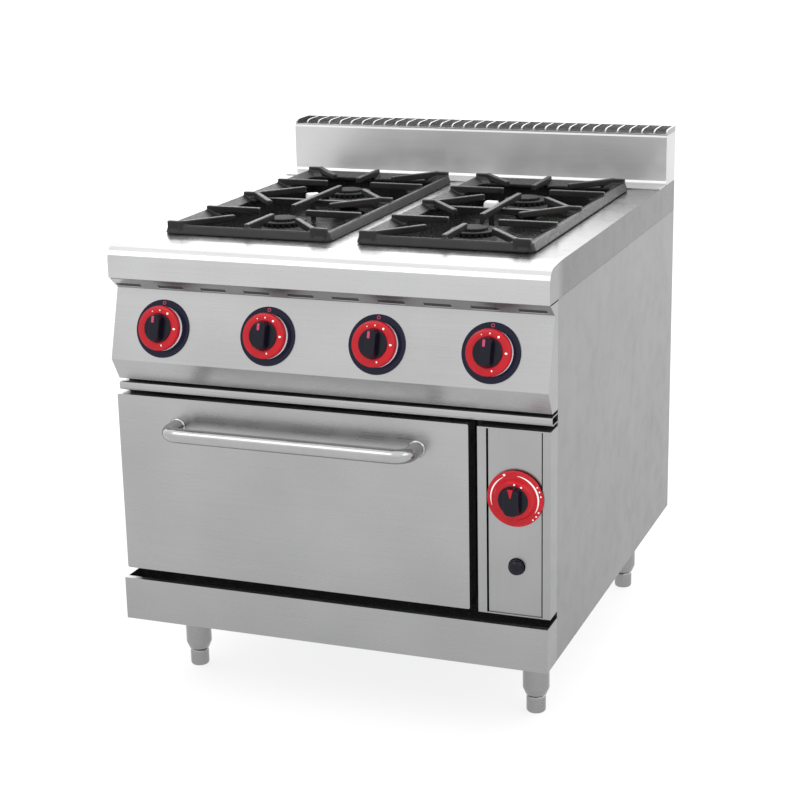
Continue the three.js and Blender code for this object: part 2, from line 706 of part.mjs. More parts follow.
function flueGrille() {
  const z0 = RISER_TOP_Z + GAP;
  const frontY = RISER_Y + RISER_EDGE;
  const lipTop = z0 + 2;
  const rearY = DEPTH - 9;
  const curve = [
    [frontY + 0.8, lipTop - 1], [frontY + 1.6, CAP_TOP_Z - 4.4], [frontY + 8, CAP_TOP_Z - 1.6],
    [frontY + 18, CAP_TOP_Z - 0.5], [rearY + 4, CAP_TOP_Z - 0.5],
  ];
  const side = [
    [frontY, z0], [frontY, lipTop], [frontY + 1, CAP_TOP_Z - 4], [frontY + 7.4, CAP_TOP_Z - 1],
    [frontY + 18, CAP_TOP_Z], [DEPTH, CAP_TOP_Z], [DEPTH, z0],
  ];
  const pitch = CAP_SLOT_WIDTH + CAP_RIB_WIDTH;
  const margin = (WIDTH - CAP_SLOTS * pitch + CAP_RIB_WIDTH) / 2;
  const ribs = Array.from({ length: CAP_SLOTS - 1 }, (_, i) => {
    const x = margin + (i + 1) * pitch - CAP_RIB_WIDTH;
    return prism('x', sheetOutline(curve, SHEET), x, x + CAP_RIB_WIDTH);
  });
  return join(
    box(0, frontY, z0, WIDTH, frontY + 3, lipTop),
    box(0, rearY, z0, WIDTH, DEPTH, CAP_TOP_Z),
    prism('x', side, 0, margin),
    prism('x', side, WIDTH - margin, WIDTH),
    ribs,
  );
}

add('flue_riser', flueRiser(), steel());
add('flue_grille', flueGrille(), steel());

// ---------------------------------------------------------------- oven

function ovenLiner() {
  const wall = SHEET;
  const { x0, x1, y1, z1 } = CAVITY;
  const y0 = BODY_FRONT_Y;
  const frame = box(SHEET + GAP, y0, FRAME_BOTTOM_Z, WIDTH - SHEET - GAP, y0 + SHEET, FRAME_TOP_Z);
  const shell = box(x0 - wall, y0, LINER_BOTTOM_Z, x1 + wall, y1 + wall, z1 + wall);
  const ductFoot = box(DUCT.x0, y1 - 5, z1 - 50, DUCT.x1, DUCT.y1, z1 + wall);
  const ductRise = box(DUCT.x0, DUCT.y0, z1 - 50, DUCT.x1, DUCT.y1, WORKTOP_Z + 30);
  const hollow = box(x0, y0 + SHEET, LINER_BOTTOM_Z + wall, x1, y1, z1);
  const mouth = box(x0, y0 - 5, CAVITY.z0, x1, y0 + 10, z1);
  const ductFootHollow = box(
    DUCT.x0 + wall, y1 - 10, z1 - 50 + wall, DUCT.x1 - wall, DUCT.y1 - wall, z1,
  );
  const ductRiseHollow = box(
    DUCT.x0 + wall, DUCT.y0 + wall, z1 - 50 + wall, DUCT.x1 - wall, DUCT.y1 - wall, WORKTOP_Z + 40,
  );
  const columnWindow = box(WINDOW_LEFT_X, y0 - 5, 262, WINDOW_RIGHT_X, y0 + 10, 545);
  const burnerHole = rod([x1 - 10, 150, OVEN_BURNER_Z], [x1 + 10, 150, OVEN_BURNER_Z], 19);
  const runners = [];
  for (const z of [RACK_Z - 90, RACK_Z, RACK_Z + 80]) {
    runners.push(box(x0 - 1, 90, z - 6 - GAP, x0 + 10, y1 - 30, z - 4 - GAP));
    runners.push(box(x1 - 10, 90, z - 6 - GAP, x1 + 1, y1 - 30, z - 4 - GAP));
  }
  const soleLedges = [
    box(x0 - 1, y0 + 5, CAVITY.z0 - 8, x0 + 12, y1, CAVITY.z0 - 6),
    box(x1 - 12, y0 + 5, CAVITY.z0 - 8, x1 + 1, y1, CAVITY.z0 - 6),
  ];
  const tools = [hollow, mouth, ductFootHollow, ductRiseHollow, columnWindow, burnerHole];
  const shellCut = cut(join(frame, shell, ductFoot, ductRise), tools);
  return join(shellCut, runners, soleLedges);
}

function ovenSole() {
  const { x0, x1, y1, z0 } = CAVITY;
  const bottom = z0 - 6 + GAP;
  const plate = box(x0 + 3, BODY_FRONT_Y + 6, bottom, x1 - 3, y1 - 12, bottom + SOLE_THICKNESS);
  const vents = [0, 1, 2, 3, 4, 5].map((i) =>
    box(x0 + 40 + i * 80, y1 - 70, bottom - 5, x0 + 100 + i * 80, y1 - 58, bottom + 10));
  return cut(plate, vents);
}

function ovenRack() {
  const { x0, x1, y1 } = CAVITY;
  const r = 3.5;
  const left = x0 + 5;
  const right = x1 - 5;
  const front = 84;
  const back = y1 - 30;
  const sides = [
    rod([left, front, RACK_Z], [left, back, RACK_Z], r, 8),
    rod([right, front, RACK_Z], [right, back, RACK_Z], r, 8),
    rod([left, front, RACK_Z], [right, front, RACK_Z], r, 8),
    rod([left, back, RACK_Z], [right, back, RACK_Z], r, 8),
    rod([left, (front + back) / 2, RACK_Z], [right, (front + back) / 2, RACK_Z], r, 8),
  ];
  const wires = 9;
  const pitch = (right - left) / (wires + 1);
  for (let i = 1; i <= wires; i += 1) {
    const x = left + i * pitch;
    sides.push(box(x - 2, front, RACK_Z + 1, x + 2, back, RACK_Z + 4));
  }
  return join(sides);
}

function ovenBurner() {
  const z = OVEN_BURNER_Z;
  const bar = rod([330, 110, z], [330, 700, z], 15, PLAIN);
  const feed = rod([330, 150, z], [640, 150, z], 12, PLAIN);
  const mouth = rod([625, 150, z], [650, 150, z], 16, PLAIN);
  const bore = rod([560, 150, z], [660, 150, z], 9, PLAIN);
  const ports = [315, 345].map((x) => box(x - 4, 190, z - 1.5, x + 4, 680, z + 1.5));
  return cut(join(bar, feed, mouth), bore, ports);
}

add('oven_liner', ovenLiner(), blackEnamel());
add('oven_sole_plate', ovenSole(), darkSteel());
add('oven_rack', ovenRack(), polished());
add('oven_burner', ovenBurner(), darkSteel());

// ---------------------------------------------------------------- gas supply

function gasManifold() {
  const angle = panelRun.angle();
  const y = panelSeat[0] + PIPE_UP * Math.cos(angle) - PIPE_OUT * Math.sin(angle);
  const z = panelSeat[1] + PIPE_UP * Math.sin(angle) + PIPE_OUT * Math.cos(angle);
  const main = bentRod([
    [60, y, z], [GAS_INLET[0], y, z], [GAS_INLET[0], 846, z],
    [GAS_INLET[0], 846, GAS_INLET[1]], [GAS_INLET[0], DEPTH - 1, GAS_INLET[1]],
  ], PIPE_RADIUS, 22, PLAIN);
  const dropY = y + 8; // the drop to the oven valve passes behind the front frame
  const drop = rod([DIAL_X, dropY, z], [DIAL_X, dropY, DIAL_Z + 34 + GAP], 7, PLAIN);
  const cap = rod([54, y, z], [70, y, z], PIPE_RADIUS + 3, 6);
  return join(main, drop, cap);
}

function ovenValve() {
  const body = box(DIAL_X - 26, 32, DIAL_Z - 30, DIAL_X + 26, 82, DIAL_Z + 34);
  const neck = rod([DIAL_X, 20, DIAL_Z], [DIAL_X, 34, DIAL_Z], 11, PLAIN);
  const bore = rod([DIAL_X, 10, DIAL_Z], [DIAL_X, 50, DIAL_Z], SPINDLE_RADIUS + 0.7, 8);
  const supply = bentRod([
    [DIAL_X, 60, DIAL_Z - 26], [DIAL_X, 60, OVEN_BURNER_Z + 60], [DIAL_X, 150, OVEN_BURNER_Z + 30],
    [DIAL_X, 150, OVEN_BURNER_Z], [644, 150, OVEN_BURNER_Z],
  ], 4, 12, 6, 2);
  return join(cut(join(body, neck), bore), supply);
}

add('gas_manifold', gasManifold(), brass());
add('oven_valve', ovenValve(), brass());

// ---------------------------------------------------------------- control column

function columnFrame() {
  const x0 = COLUMN_LEFT_X;
  const y0 = COLUMN_FRONT_Y;
  const y1 = BODY_FRONT_Y - GAP;
  const lipY = PLATE_Y + 4;
  const left = [
    [x0, y0], [PLATE_LEFT_X, y0], [PLATE_LEFT_X, lipY], [PLATE_LEFT_X - SHEET, lipY],
    [PLATE_LEFT_X - SHEET, y0 + SHEET], [x0 + SHEET, y0 + SHEET], [x0 + SHEET, y1], [x0, y1],
  ];
  const right = [
    [PLATE_RIGHT_X, y0], [WIDTH, y0], [WIDTH, y1], [WIDTH - SHEET, y1],
    [WIDTH - SHEET, y0 + SHEET], [PLATE_RIGHT_X + SHEET, y0 + SHEET],
    [PLATE_RIGHT_X + SHEET, lipY], [PLATE_RIGHT_X, lipY],
  ];
  const z0 = COLUMN_BOTTOM_Z;
  const z1 = COLUMN_TOP_Z;
  return join(
    prism('z', left, z0, z1),
    prism('z', right, z0, z1),
    box(x0, y0, z0, WIDTH, y1, z0 + SHEET),
    box(x0, y0, z1 - SHEET, WIDTH, y1, z1),
  );
}

function controlPlate() {
  const plate = box(
    PLATE_LEFT_X + PLATE_GROOVE, PLATE_Y, COLUMN_BOTTOM_Z + SHEET + GAP,
    PLATE_RIGHT_X - PLATE_GROOVE, PLATE_Y + SHEET, COLUMN_TOP_Z - SHEET - GAP,
  );
  const dialHole = rod([DIAL_X, 0, DIAL_Z], [DIAL_X, 30, DIAL_Z], 12.5);
  const igniterHole = rod([IGNITER_X, 0, IGNITER_Z], [IGNITER_X, 30, IGNITER_Z], IGNITER_RADIUS + 0.8);
  return cut(plate, dialHole, igniterHole);
}

function ovenDial() {
  const face = 5;
  const ring = 15;
  const disc = turned([
    [0, 0.6], [DIAL_RADIUS - 1, 0.6], [DIAL_RADIUS, 2], [DIAL_RADIUS - 1.5, face], [36, face],
    [32, ring], [25, ring], [23, ring + 2], [0, ring + 2],
  ], FINE);
  const spindle = rod([0, 0, -34], [0, 0, 2], SPINDLE_RADIUS, 8);
  return join(disc, gripBar(24, 48, ring, 31), spindle);
}

function igniterButton() {
  const r = IGNITER_RADIUS;
  return turned([
    [0, -26], [r, -26], [r, 6], [r - 2, 10.5], [r - 7, 13], [0, 13.6],
  ]);
}

add('column_frame', columnFrame(), steel());
add('oven_control_plate', controlPlate(), steel());
const outwards = new THREE.Group();
outwards.rotation.x = Math.PI / 2; // local Z comes straight out of the front
range.add(outwards);
add('oven_dial', ovenDial(), redPlastic(), outwards).position.set(DIAL_X, DIAL_Z, -COLUMN_FRONT_Y);
add('igniter_button', igniterButton(), blackPlastic(), outwards).position.set(IGNITER_X, IGNITER_Z, -PLATE_Y);

// ---------------------------------------------------------------- oven door

const HINGE_X = [20, DOOR_WIDTH - 20]; // centre of each hinge arm

function doorPanel() {
  const outer = roundedRectangle(0, DOOR_BOTTOM_Z, DOOR_WIDTH, DOOR_TOP_Z, DOOR_CORNER);
  const inner = roundedRectangle(
    SHEET, DOOR_BOTTOM_Z + SHEET, DOOR_WIDTH - SHEET, DOOR_TOP_Z - SHEET, DOOR_CORNER - SHEET,
  );
  const tray = cut(
    prism('y', outer, DOOR_FRONT_Y, DOOR_RETURN_Y),
    prism('y', inner, DOOR_FRONT_Y + SHEET, DOOR_RETURN_Y + 5),
  );
  const lugs = [
    box(1, DOOR_FRONT_Y + 1, DOOR_BOTTOM_Z + 1, 14, 32, HINGE_Z + 14),
    box(DOOR_WIDTH - 14, DOOR_FRONT_Y + 1, DOOR_BOTTOM_Z + 1, DOOR_WIDTH - 1, 32, HINGE_Z + 14),
  ];
  const rounded = prism('y', outer, DOOR_FRONT_Y, DOOR_RETURN_Y);
  const bores = [
    rod([4, HINGE_Y, HINGE_Z], [18, HINGE_Y, HINGE_Z], HINGE_BORE_RADIUS, PLAIN),
    rod([DOOR_WIDTH - 18, HINGE_Y, HINGE_Z], [DOOR_WIDTH - 4, HINGE_Y, HINGE_Z], HINGE_BORE_RADIUS, PLAIN),
  ];
  const notches = HINGE_X.map((x) =>
    box(x - 5, DOOR_FRONT_Y + SHEET, DOOR_BOTTOM_Z - 5, x + 5, DOOR_RETURN_Y + 5, DOOR_BOTTOM_Z + SHEET + 1));
  return cut(join(tray, lugs.map((lug) => lug.intersect(rounded))), bores, notches);
}

function doorLiner() {
  const outer = [40, 266, 618, 556];
  const pan = prism('y', roundedRectangle(...outer, 8), DOOR_FRONT_Y + 14, DOOR_LINER_BACK_Y);
  const hollow = prism(
    'y', roundedRectangle(outer[0] + SHEET, outer[1] + SHEET, outer[2] - SHEET, outer[3] - SHEET, 6),
    DOOR_FRONT_Y, DOOR_LINER_BACK_Y - SHEET,
  );
  return cut(pan, hollow);
}

function doorHandle() {
  const seatY = DOOR_FRONT_Y - GAP;
  const route = (endY) => [
    [HANDLE_LEFT_X, endY, HANDLE_Z], [HANDLE_LEFT_X, HANDLE_BAR_Y, HANDLE_Z],
    [HANDLE_RIGHT_X, HANDLE_BAR_Y, HANDLE_Z], [HANDLE_RIGHT_X, endY, HANDLE_Z],
  ];
  const tube = bentRod(route(seatY), HANDLE_RADIUS, HANDLE_BEND, PLAIN, 4);
  const bore = bentRod(route(seatY + 2), HANDLE_RADIUS - HANDLE_WALL, HANDLE_BEND, PLAIN, 4);
  return cut(tube, bore);
}

function doorGasket() {
  const y0 = DOOR_LINER_BACK_Y + 0.6;
  const y1 = BODY_FRONT_Y - GAP;
  const ring = prism('y', roundedRectangle(48, 272, 610, 552, 10), y0, y1);
  const hole = prism('y', roundedRectangle(58, 283, 602, 542, 6), y0 - 2, y1 + 2);
  return cut(ring, hole);
}

// A fixed hinge arm with its pin pointing outwards into the door's lug.
function doorHinge(centreX, out) {
  const half = 3;
  const backY = BODY_FRONT_Y - GAP;
  const arm = box(centreX - half, HINGE_Y, HINGE_Z - 7, centreX + half, backY, HINGE_Z + 7);
  const eye = rod([centreX - half, HINGE_Y, HINGE_Z], [centreX + half, HINGE_Y, HINGE_Z], 8, PLAIN);
  const foot = box(centreX - 9, backY - 3, HINGE_Z - 16, centreX + 9, backY, HINGE_Z + 20);
  const pin = rod([centreX, HINGE_Y, HINGE_Z], [centreX + out * 14, HINGE_Y, HINGE_Z], HINGE_PIN_RADIUS, PLAIN);
  return join(arm, eye, foot, pin);
}

add('door_panel', doorPanel(), steel());
add('door_liner', doorLiner(), darkSteel());
add('door_handle', doorHandle(), polished());
add('door_gasket', doorGasket(), rubber());
add('door_hinge_left', doorHinge(HINGE_X[0], -1), darkSteel());
add('door_hinge_right', doorHinge(HINGE_X[1], 1), darkSteel());

// ---------------------------------------------------------------- legs

function legSleeve() {
  const top = BODY_BOTTOM_Z - GAP;
  const bore = FOOT_STEM_RADIUS + 0.4;
  return turned([
    [0, 112], [bore, 112], [bore, 34], [FOOT_RADIUS, 34], [LEG_RADIUS, 46], [LEG_RADIUS, top], [0, top],
  ]);
}

function foot() {
  return turned([
    [0, 0], [12, 0], [FOOT_RADIUS, 8], [FOOT_RADIUS, 33],
    [FOOT_STEM_RADIUS, 33], [FOOT_STEM_RADIUS, 106], [0, 106],
  ]);
}

const legNames = ['front_left', 'front_right', 'rear_left', 'rear_right'];
legNames.forEach((name, i) => {
  const x = LEG_X[i % 2];
  const y = LEG_Y[Math.floor(i / 2)];
  add(`leg_${name}`, legSleeve(), steel()).position.set(x, y, 0);
  add(`foot_${name}`, foot(), steel()).position.set(x, y, 0);
});

// ---------------------------------------------------------------- origin

const foremostY = HANDLE_BAR_Y - HANDLE_RADIUS;
range.position.set(-WIDTH / 2, -(foremostY + DEPTH) / 2, 0);
range.updateMatrixWorld(true);

const model = new THREE.Group();
model.add(range);

export default model;
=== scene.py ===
"""Looks of a four-burner gas range with an oven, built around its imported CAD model.

Metres, +Z up, in the frame of the CAD: the front faces -Y and the feet stand at Z = 0.
Small pieces are drawn in millimetres, in a frame of their own, and scaled when they are made.
"""
import json
import math

import bmesh
import bpy
from mathutils import Matrix, Vector

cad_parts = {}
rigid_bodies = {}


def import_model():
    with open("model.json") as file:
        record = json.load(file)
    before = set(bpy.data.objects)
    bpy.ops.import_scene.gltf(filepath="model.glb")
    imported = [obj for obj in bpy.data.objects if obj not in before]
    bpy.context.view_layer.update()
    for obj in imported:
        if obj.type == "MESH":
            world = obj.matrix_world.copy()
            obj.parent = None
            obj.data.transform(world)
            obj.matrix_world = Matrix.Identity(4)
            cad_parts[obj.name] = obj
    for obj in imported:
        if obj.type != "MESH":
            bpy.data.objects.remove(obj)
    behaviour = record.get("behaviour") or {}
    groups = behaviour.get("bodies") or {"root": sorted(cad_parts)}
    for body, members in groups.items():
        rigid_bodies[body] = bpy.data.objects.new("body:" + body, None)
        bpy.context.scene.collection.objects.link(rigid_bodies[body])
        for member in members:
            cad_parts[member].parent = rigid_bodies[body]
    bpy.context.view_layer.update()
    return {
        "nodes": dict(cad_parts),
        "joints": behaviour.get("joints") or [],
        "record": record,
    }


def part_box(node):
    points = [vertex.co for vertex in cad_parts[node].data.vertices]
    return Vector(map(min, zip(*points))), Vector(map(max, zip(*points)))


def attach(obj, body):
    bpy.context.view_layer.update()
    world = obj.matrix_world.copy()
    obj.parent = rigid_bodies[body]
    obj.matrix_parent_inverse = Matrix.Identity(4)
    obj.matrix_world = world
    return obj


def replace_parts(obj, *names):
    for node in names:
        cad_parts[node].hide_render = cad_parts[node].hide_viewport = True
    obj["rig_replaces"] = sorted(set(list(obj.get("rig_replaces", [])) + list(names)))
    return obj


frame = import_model()
nodes = frame["nodes"]
joints = {joint["name"]: joint for joint in frame["joints"]}
MM = 0.001


# Camera, floor and light

CAMERA = Vector((1.209, -3.215, 1.455))
CAMERA_AZIMUTH = math.radians(20.93)
CAMERA_ELEVATION = math.radians(15.91)
CAMERA_ROLL = math.radians(-1.14)
CAMERA_LENS = 83.7
SENSOR = 36
OVERHEAD_LIGHT = (1.1, 1.55)
LIGHT_BEHIND = 1.3
FLOOR_REACH = 30
FLOOR_GREY = 0.2
FLOOR_GLOW = 0.8


def make_camera():
    data = bpy.data.cameras.new("camera")
    data.sensor_width = SENSOR
    data.lens = CAMERA_LENS
    camera = bpy.data.objects.new("camera", data)
    bpy.context.scene.collection.objects.link(camera)
    bpy.context.scene.camera = camera
    flat = math.cos(CAMERA_ELEVATION)
    back = Vector((
        math.sin(CAMERA_AZIMUTH) * flat,
        -math.cos(CAMERA_AZIMUTH) * flat,
        math.sin(CAMERA_ELEVATION),
    ))
    right = (-back).cross(Vector((0, 0, 1))).normalized()
    up = right.cross(-back)
    turn = Matrix.Rotation(CAMERA_ROLL, 4, "Z")
    axes = Matrix((right, up, back)).transposed().to_4x4()
    camera.matrix_world = Matrix.Translation(CAMERA) @ axes @ turn


def link(tree, source, target):
    tree.links.new(source, target)


def ramp(tree, value, end, low, high):
    """value from 0 to end, brought to low to high."""
    node = tree.nodes.new("ShaderNodeMapRange")
    node.inputs["From Max"].default_value = end
    node.inputs["To Min"].default_value = low
    node.inputs["To Max"].default_value = high
    link(tree, value, node.inputs["Value"])
    return node.outputs[0]


def make_world():
    """White light from all around, stronger from above and from behind the range."""
    world = bpy.data.worlds.new("studio")
    bpy.context.scene.world = world
    world.use_nodes = True
    tree = world.node_tree
    background = tree.nodes["Background"]
    direction = tree.nodes.new("ShaderNodeTexCoord")
    split = tree.nodes.new("ShaderNodeSeparateXYZ")
    link(tree, direction.outputs["Generated"], split.inputs[0])
    total = tree.nodes.new("ShaderNodeMath")
    total.operation = "ADD"
    link(tree, ramp(tree, split.outputs["Z"], 0.7, *OVERHEAD_LIGHT), total.inputs[0])
    link(tree, ramp(tree, split.outputs["Y"], 0.9, 0, LIGHT_BEHIND), total.inputs[1])
    link(tree, total.outputs[0], background.inputs["Strength"])
    background.inputs["Color"].default_value = (1, 1, 1, 1)


def make_floor():
    """A pale, dull floor that glows a little, so that it stays pale under the range."""
    mesh = bpy.data.meshes.new("floor")
    corners = [(x * FLOOR_REACH, y * FLOOR_REACH, 0) for x, y in ((-1, -1), (1, -1), (1, 1), (-1, 1))]
    mesh.from_pydata(corners, [], [(0, 1, 2, 3)])
    floor = bpy.data.objects.new("floor", mesh)
    bpy.context.scene.collection.objects.link(floor)
    material = bpy.data.materials.new("pale floor")
    material.use_nodes = True
    shader = material.node_tree.nodes["Principled BSDF"]
    shader.inputs["Base Color"].default_value = (FLOOR_GREY, FLOOR_GREY, FLOOR_GREY, 1)
    shader.inputs["Roughness"].default_value = 1
    shader.inputs["Specular IOR Level"].default_value = 0
    shader.inputs["Emission Color"].default_value = (1, 1, 1, 1)
    shader.inputs["Emission Strength"].default_value = FLOOR_GLOW
    mesh.materials.append(material)


def area_light(name, place, target, size, power):
    data = bpy.data.lights.new(name, "AREA")
    data.shape = "RECTANGLE"
    data.size, data.size_y = size
    data.energy = power
    light = bpy.data.objects.new(name, data)
    light.location = place
    light.rotation_euler = (Vector(target) - Vector(place)).to_track_quat("-Z", "Y").to_euler()
    bpy.context.scene.collection.objects.link(light)


# Materials


class Finish:
    """A Principled material and the textures that vary its colour, roughness and surface."""

    def __init__(self, name, color, roughness, metallic=0.0, **sockets):
        self.material = bpy.data.materials.new(name)
        self.material.use_nodes = True
        self.tree = self.material.node_tree
        self.shader = self.tree.nodes["Principled BSDF"]
        self.color = color
        self.roughness = roughness
        self.height = None
        self.shader.inputs["Base Color"].default_value = (*color, 1)
        self.shader.inputs["Roughness"].default_value = roughness
        self.shader.inputs["Metallic"].default_value = metallic
        for socket, value in sockets.items():
            self.shader.inputs[socket.replace("_", " ")].default_value = value
        self.place = self.node("TexCoord").outputs["Object"]

    def node(self, kind, **inputs):
        made = self.tree.nodes.new("ShaderNode" + kind)
        for socket, value in inputs.items():
            made.inputs[socket.replace("_", " ")].default_value = value
        return made

    def link(self, source, target):
        link(self.tree, source, target)

    def carry(self, socket, target, start):
        """Feeds target with what drives a shader socket so far, or with a start value."""
        if socket.is_linked:
            self.link(socket.links[0].from_socket, target)
        else:
            target.default_value = start

    def pattern(self, scale, detail=3.0, roughness=0.5, kind="TexNoise"):
        """A noise or Voronoi texture, scaled by one number or by one for each axis. It gives 0 to 1."""
        mapping = self.node("Mapping")
        mapping.inputs["Scale"].default_value = scale if isinstance(scale, tuple) else (scale,) * 3
        self.link(self.place, mapping.inputs["Vector"])
        texture = self.node(kind)
        texture.inputs["Scale"].default_value = 1
        if kind == "TexNoise":
            texture.inputs["Detail"].default_value = detail
            texture.inputs["Roughness"].default_value = roughness
        self.link(mapping.outputs[0], texture.inputs["Vector"])
        return texture.outputs[0]

    def component(self, vector, axis):
        split = self.node("SeparateXYZ")
        self.link(vector, split.inputs[0])
        return split.outputs[axis]

    def along(self, axis):
        """The place on the object along an axis, in metres."""
        return self.component(self.place, axis)

    def facing(self, axis):
        """How far the surface looks along an axis, from -1 to 1."""
        return self.component(self.node("NewGeometry").outputs["Normal"], axis)

    def product(self, first, second):
        node = self.node("Math")
        node.operation = "MULTIPLY"
        self.link(first, node.inputs[0])
        self.link(second, node.inputs[1])
        return node.outputs[0]

    def ranged(self, value, low, high, start=0.3, end=0.7):
        """value from start to end, brought to low to high."""
        node = self.node("MapRange", From_Min=start, From_Max=end, To_Min=low, To_Max=high)
        self.link(value, node.inputs["Value"])
        return node.outputs[0]

    def color_mix(self):
        """A mix node set between the colour so far, in its input A, and the shader."""
        mix = self.node("Mix")
        mix.data_type = "RGBA"
        socket = self.shader.inputs["Base Color"]
        self.carry(socket, mix.inputs["A"], (*self.color, 1))
        self.link(mix.outputs["Result"], socket)
        return mix

    def tint(self, value, dark, light, start=0.3, end=0.7):
        """Multiplies the colour by dark to light as value goes from start to end."""
        mix = self.color_mix()
        mix.blend_type = "MULTIPLY"
        mix.inputs["Factor"].default_value = 1
        self.link(self.ranged(value, dark, light, start, end), mix.inputs["B"])

    def blend(self, value, color, start, end):
        """Turns the colour into another where value is over start, wholly at end."""
        mix = self.color_mix()
        mix.inputs["B"].default_value = (*color, 1)
        self.link(self.ranged(value, 0, 1, start, end), mix.inputs["Factor"])

    def gloss(self, value, less, more, start=0.3, end=0.7):
        """Adds less to more to the roughness as value goes from start to end."""
        total = self.node("Math")
        total.operation = "ADD"
        socket = self.shader.inputs["Roughness"]
        self.carry(socket, total.inputs[0], self.roughness)
        self.link(self.ranged(value, less, more, start, end), total.inputs[1])
        self.link(total.outputs[0], socket)

    def bump(self, value, depth, strength=1.0):
        """Raises the surface by depth, in metres, where value is 1."""
        node = self.node("Bump", Strength=strength, Distance=depth)
        self.link(value, node.inputs["Height"])
        if self.height is not None:
            self.link(self.height, node.inputs["Normal"])
        self.height = node.outputs[0]
        self.link(self.height, self.shader.inputs["Normal"])


# How fine the brushing is along x, y and z, in lines per metre. It runs along the smallest number.
FINE_LINES = 900.0
LONG_LINES = 6.0
GRAIN_SIDEWAYS = (LONG_LINES, FINE_LINES, FINE_LINES)
GRAIN_UPRIGHT = (FINE_LINES, FINE_LINES, LONG_LINES)
GRAIN_TURNED = (FINE_LINES / 4, FINE_LINES / 4, FINE_LINES)

# A face counts as looking one way from the first share of its normal on, and wholly at the second.
FACE_START = 0.55
FACE_END = 0.9


def brushed(name, color, roughness, grain, shine=0.04):
    """Brushed sheet steel."""
    steel = Finish(name, color, roughness, 1.0)
    lines = steel.pattern(grain, 4.0, 0.65)
    clouds = steel.pattern(5.0, 2.0)
    smudges = steel.pattern(23.0, 5.0, 0.6)
    steel.tint(lines, 0.965, 1.035)
    steel.tint(clouds, 0.95, 1.05)
    steel.gloss(lines, -shine, shine)
    steel.gloss(smudges, -0.015, 0.05, 0.45, 0.75)
    steel.bump(lines, 0.00001, 0.25)
    steel.bump(clouds, 0.0006, 0.25)
    return steel


def paint_side_shade(steel, shade):
    """Paints shade onto the faces that look left or right."""
    across = steel.facing("X")
    steel.tint(across, 1, shade, FACE_START, FACE_END)
    steel.tint(across, shade, 1, -FACE_END, -FACE_START)


def paint_back_shade(steel, shade):
    """Paints shade onto the faces that look backwards."""
    steel.tint(steel.facing("Y"), 1, shade, FACE_START, FACE_END)


def body_steel(name, color, roughness, grain, shine=0.04, side_shade=1.0, back_shade=1.0):
    """Brushed sheet with painted shade: a little darker towards the floor, and on its sides and back if
    asked.
    """
    steel = brushed(name, color, roughness, grain, shine)
    # Painted shade: the colour darkens towards the floor.
    steel.tint(steel.along("Z"), 0.84, 1.05, 0.15, 0.72)
    if side_shade < 1:
        paint_side_shade(steel, side_shade)
    if back_shade < 1:
        paint_back_shade(steel, back_shade)
    return steel.material


def worktop_steel():
    """A brighter copy of the brushed sheet, with painted shade at the right of the hob and on its sides, so
    that the front ledge stays brightest as a painted highlight.
    """
    # A brighter copy of the steel: painted light.
    steel = brushed("stainless steel worktop", (0.49, 0.49, 0.493), 0.28, GRAIN_SIDEWAYS)
    # Painted shade: behind the front ledge, the hob darkens towards its right.
    right = steel.ranged(steel.along("X"), 0, 1, 0.08, 0.34)
    hob = steel.ranged(steel.along("Y"), 0, 1, -0.375, -0.34)
    steel.tint(steel.product(right, hob), 1, 0.5, 0, 1)
    paint_side_shade(steel, 0.52)
    return steel.material


def galvanised():
    zinc = Finish("galvanised steel", (0.36, 0.37, 0.38), 0.42, 1.0)
    spangle = zinc.pattern(90.0, kind="TexVoronoi")
    fine = zinc.pattern(260.0, 3.0)
    zinc.tint(spangle, 0.9, 1.07, 0.0, 0.8)
    zinc.gloss(spangle, -0.08, 0.1, 0.0, 0.8)
    zinc.bump(fine, 0.00004, 0.4)
    return zinc.material


def enamel():
    glass = Finish("black enamel", (0.012, 0.012, 0.013), 0.22, Specular_IOR_Level=0.35)
    specks = glass.pattern(420.0, kind="TexVoronoi")
    waves = glass.pattern(60.0, 2.0)
    glass.blend(specks, (0.09, 0.09, 0.095), 0.16, 0.10)
    glass.gloss(waves, -0.04, 0.08)
    glass.bump(waves, 0.0001, 0.5)
    return glass.material


def cast_iron():
    iron = Finish("cast iron", (0.010, 0.010, 0.011), 0.4, Specular_IOR_Level=0.34)
    sand = iron.pattern(900.0, 3.0, 0.7)
    pits = iron.pattern(260.0, 2.0)
    clouds = iron.pattern(14.0, 3.0)
    iron.tint(clouds, 0.7, 1.35)
    iron.blend(clouds, (0.022, 0.018, 0.015), 0.58, 0.78)
    # Lighter edges: partly edge wear, partly a painted highlight for the glints along the edges.
    edges = iron.node("NewGeometry").outputs["Pointiness"]
    iron.blend(edges, (0.15, 0.15, 0.153), 0.54, 0.6)
    iron.gloss(pits, -0.12, 0.12)
    iron.bump(sand, 0.00016, 0.55)
    iron.bump(pits, 0.0003, 0.5)
    return iron.material


def plain(name, color, roughness, metallic=0.0, fine=400.0, depth=0.00004, mottle=0.06, **sockets):
    """A moulded, cast or polished surface: a fine texture, a slow change of colour and of gloss."""
    finish = Finish(name, color, roughness, metallic, **sockets)
    texture = finish.pattern(fine, 3.0)
    clouds = finish.pattern(28.0, 3.0)
    finish.tint(clouds, 1 - mottle, 1 + mottle)
    finish.gloss(clouds, -0.03, 0.05)
    finish.bump(texture, depth, 0.5)
    return finish.material


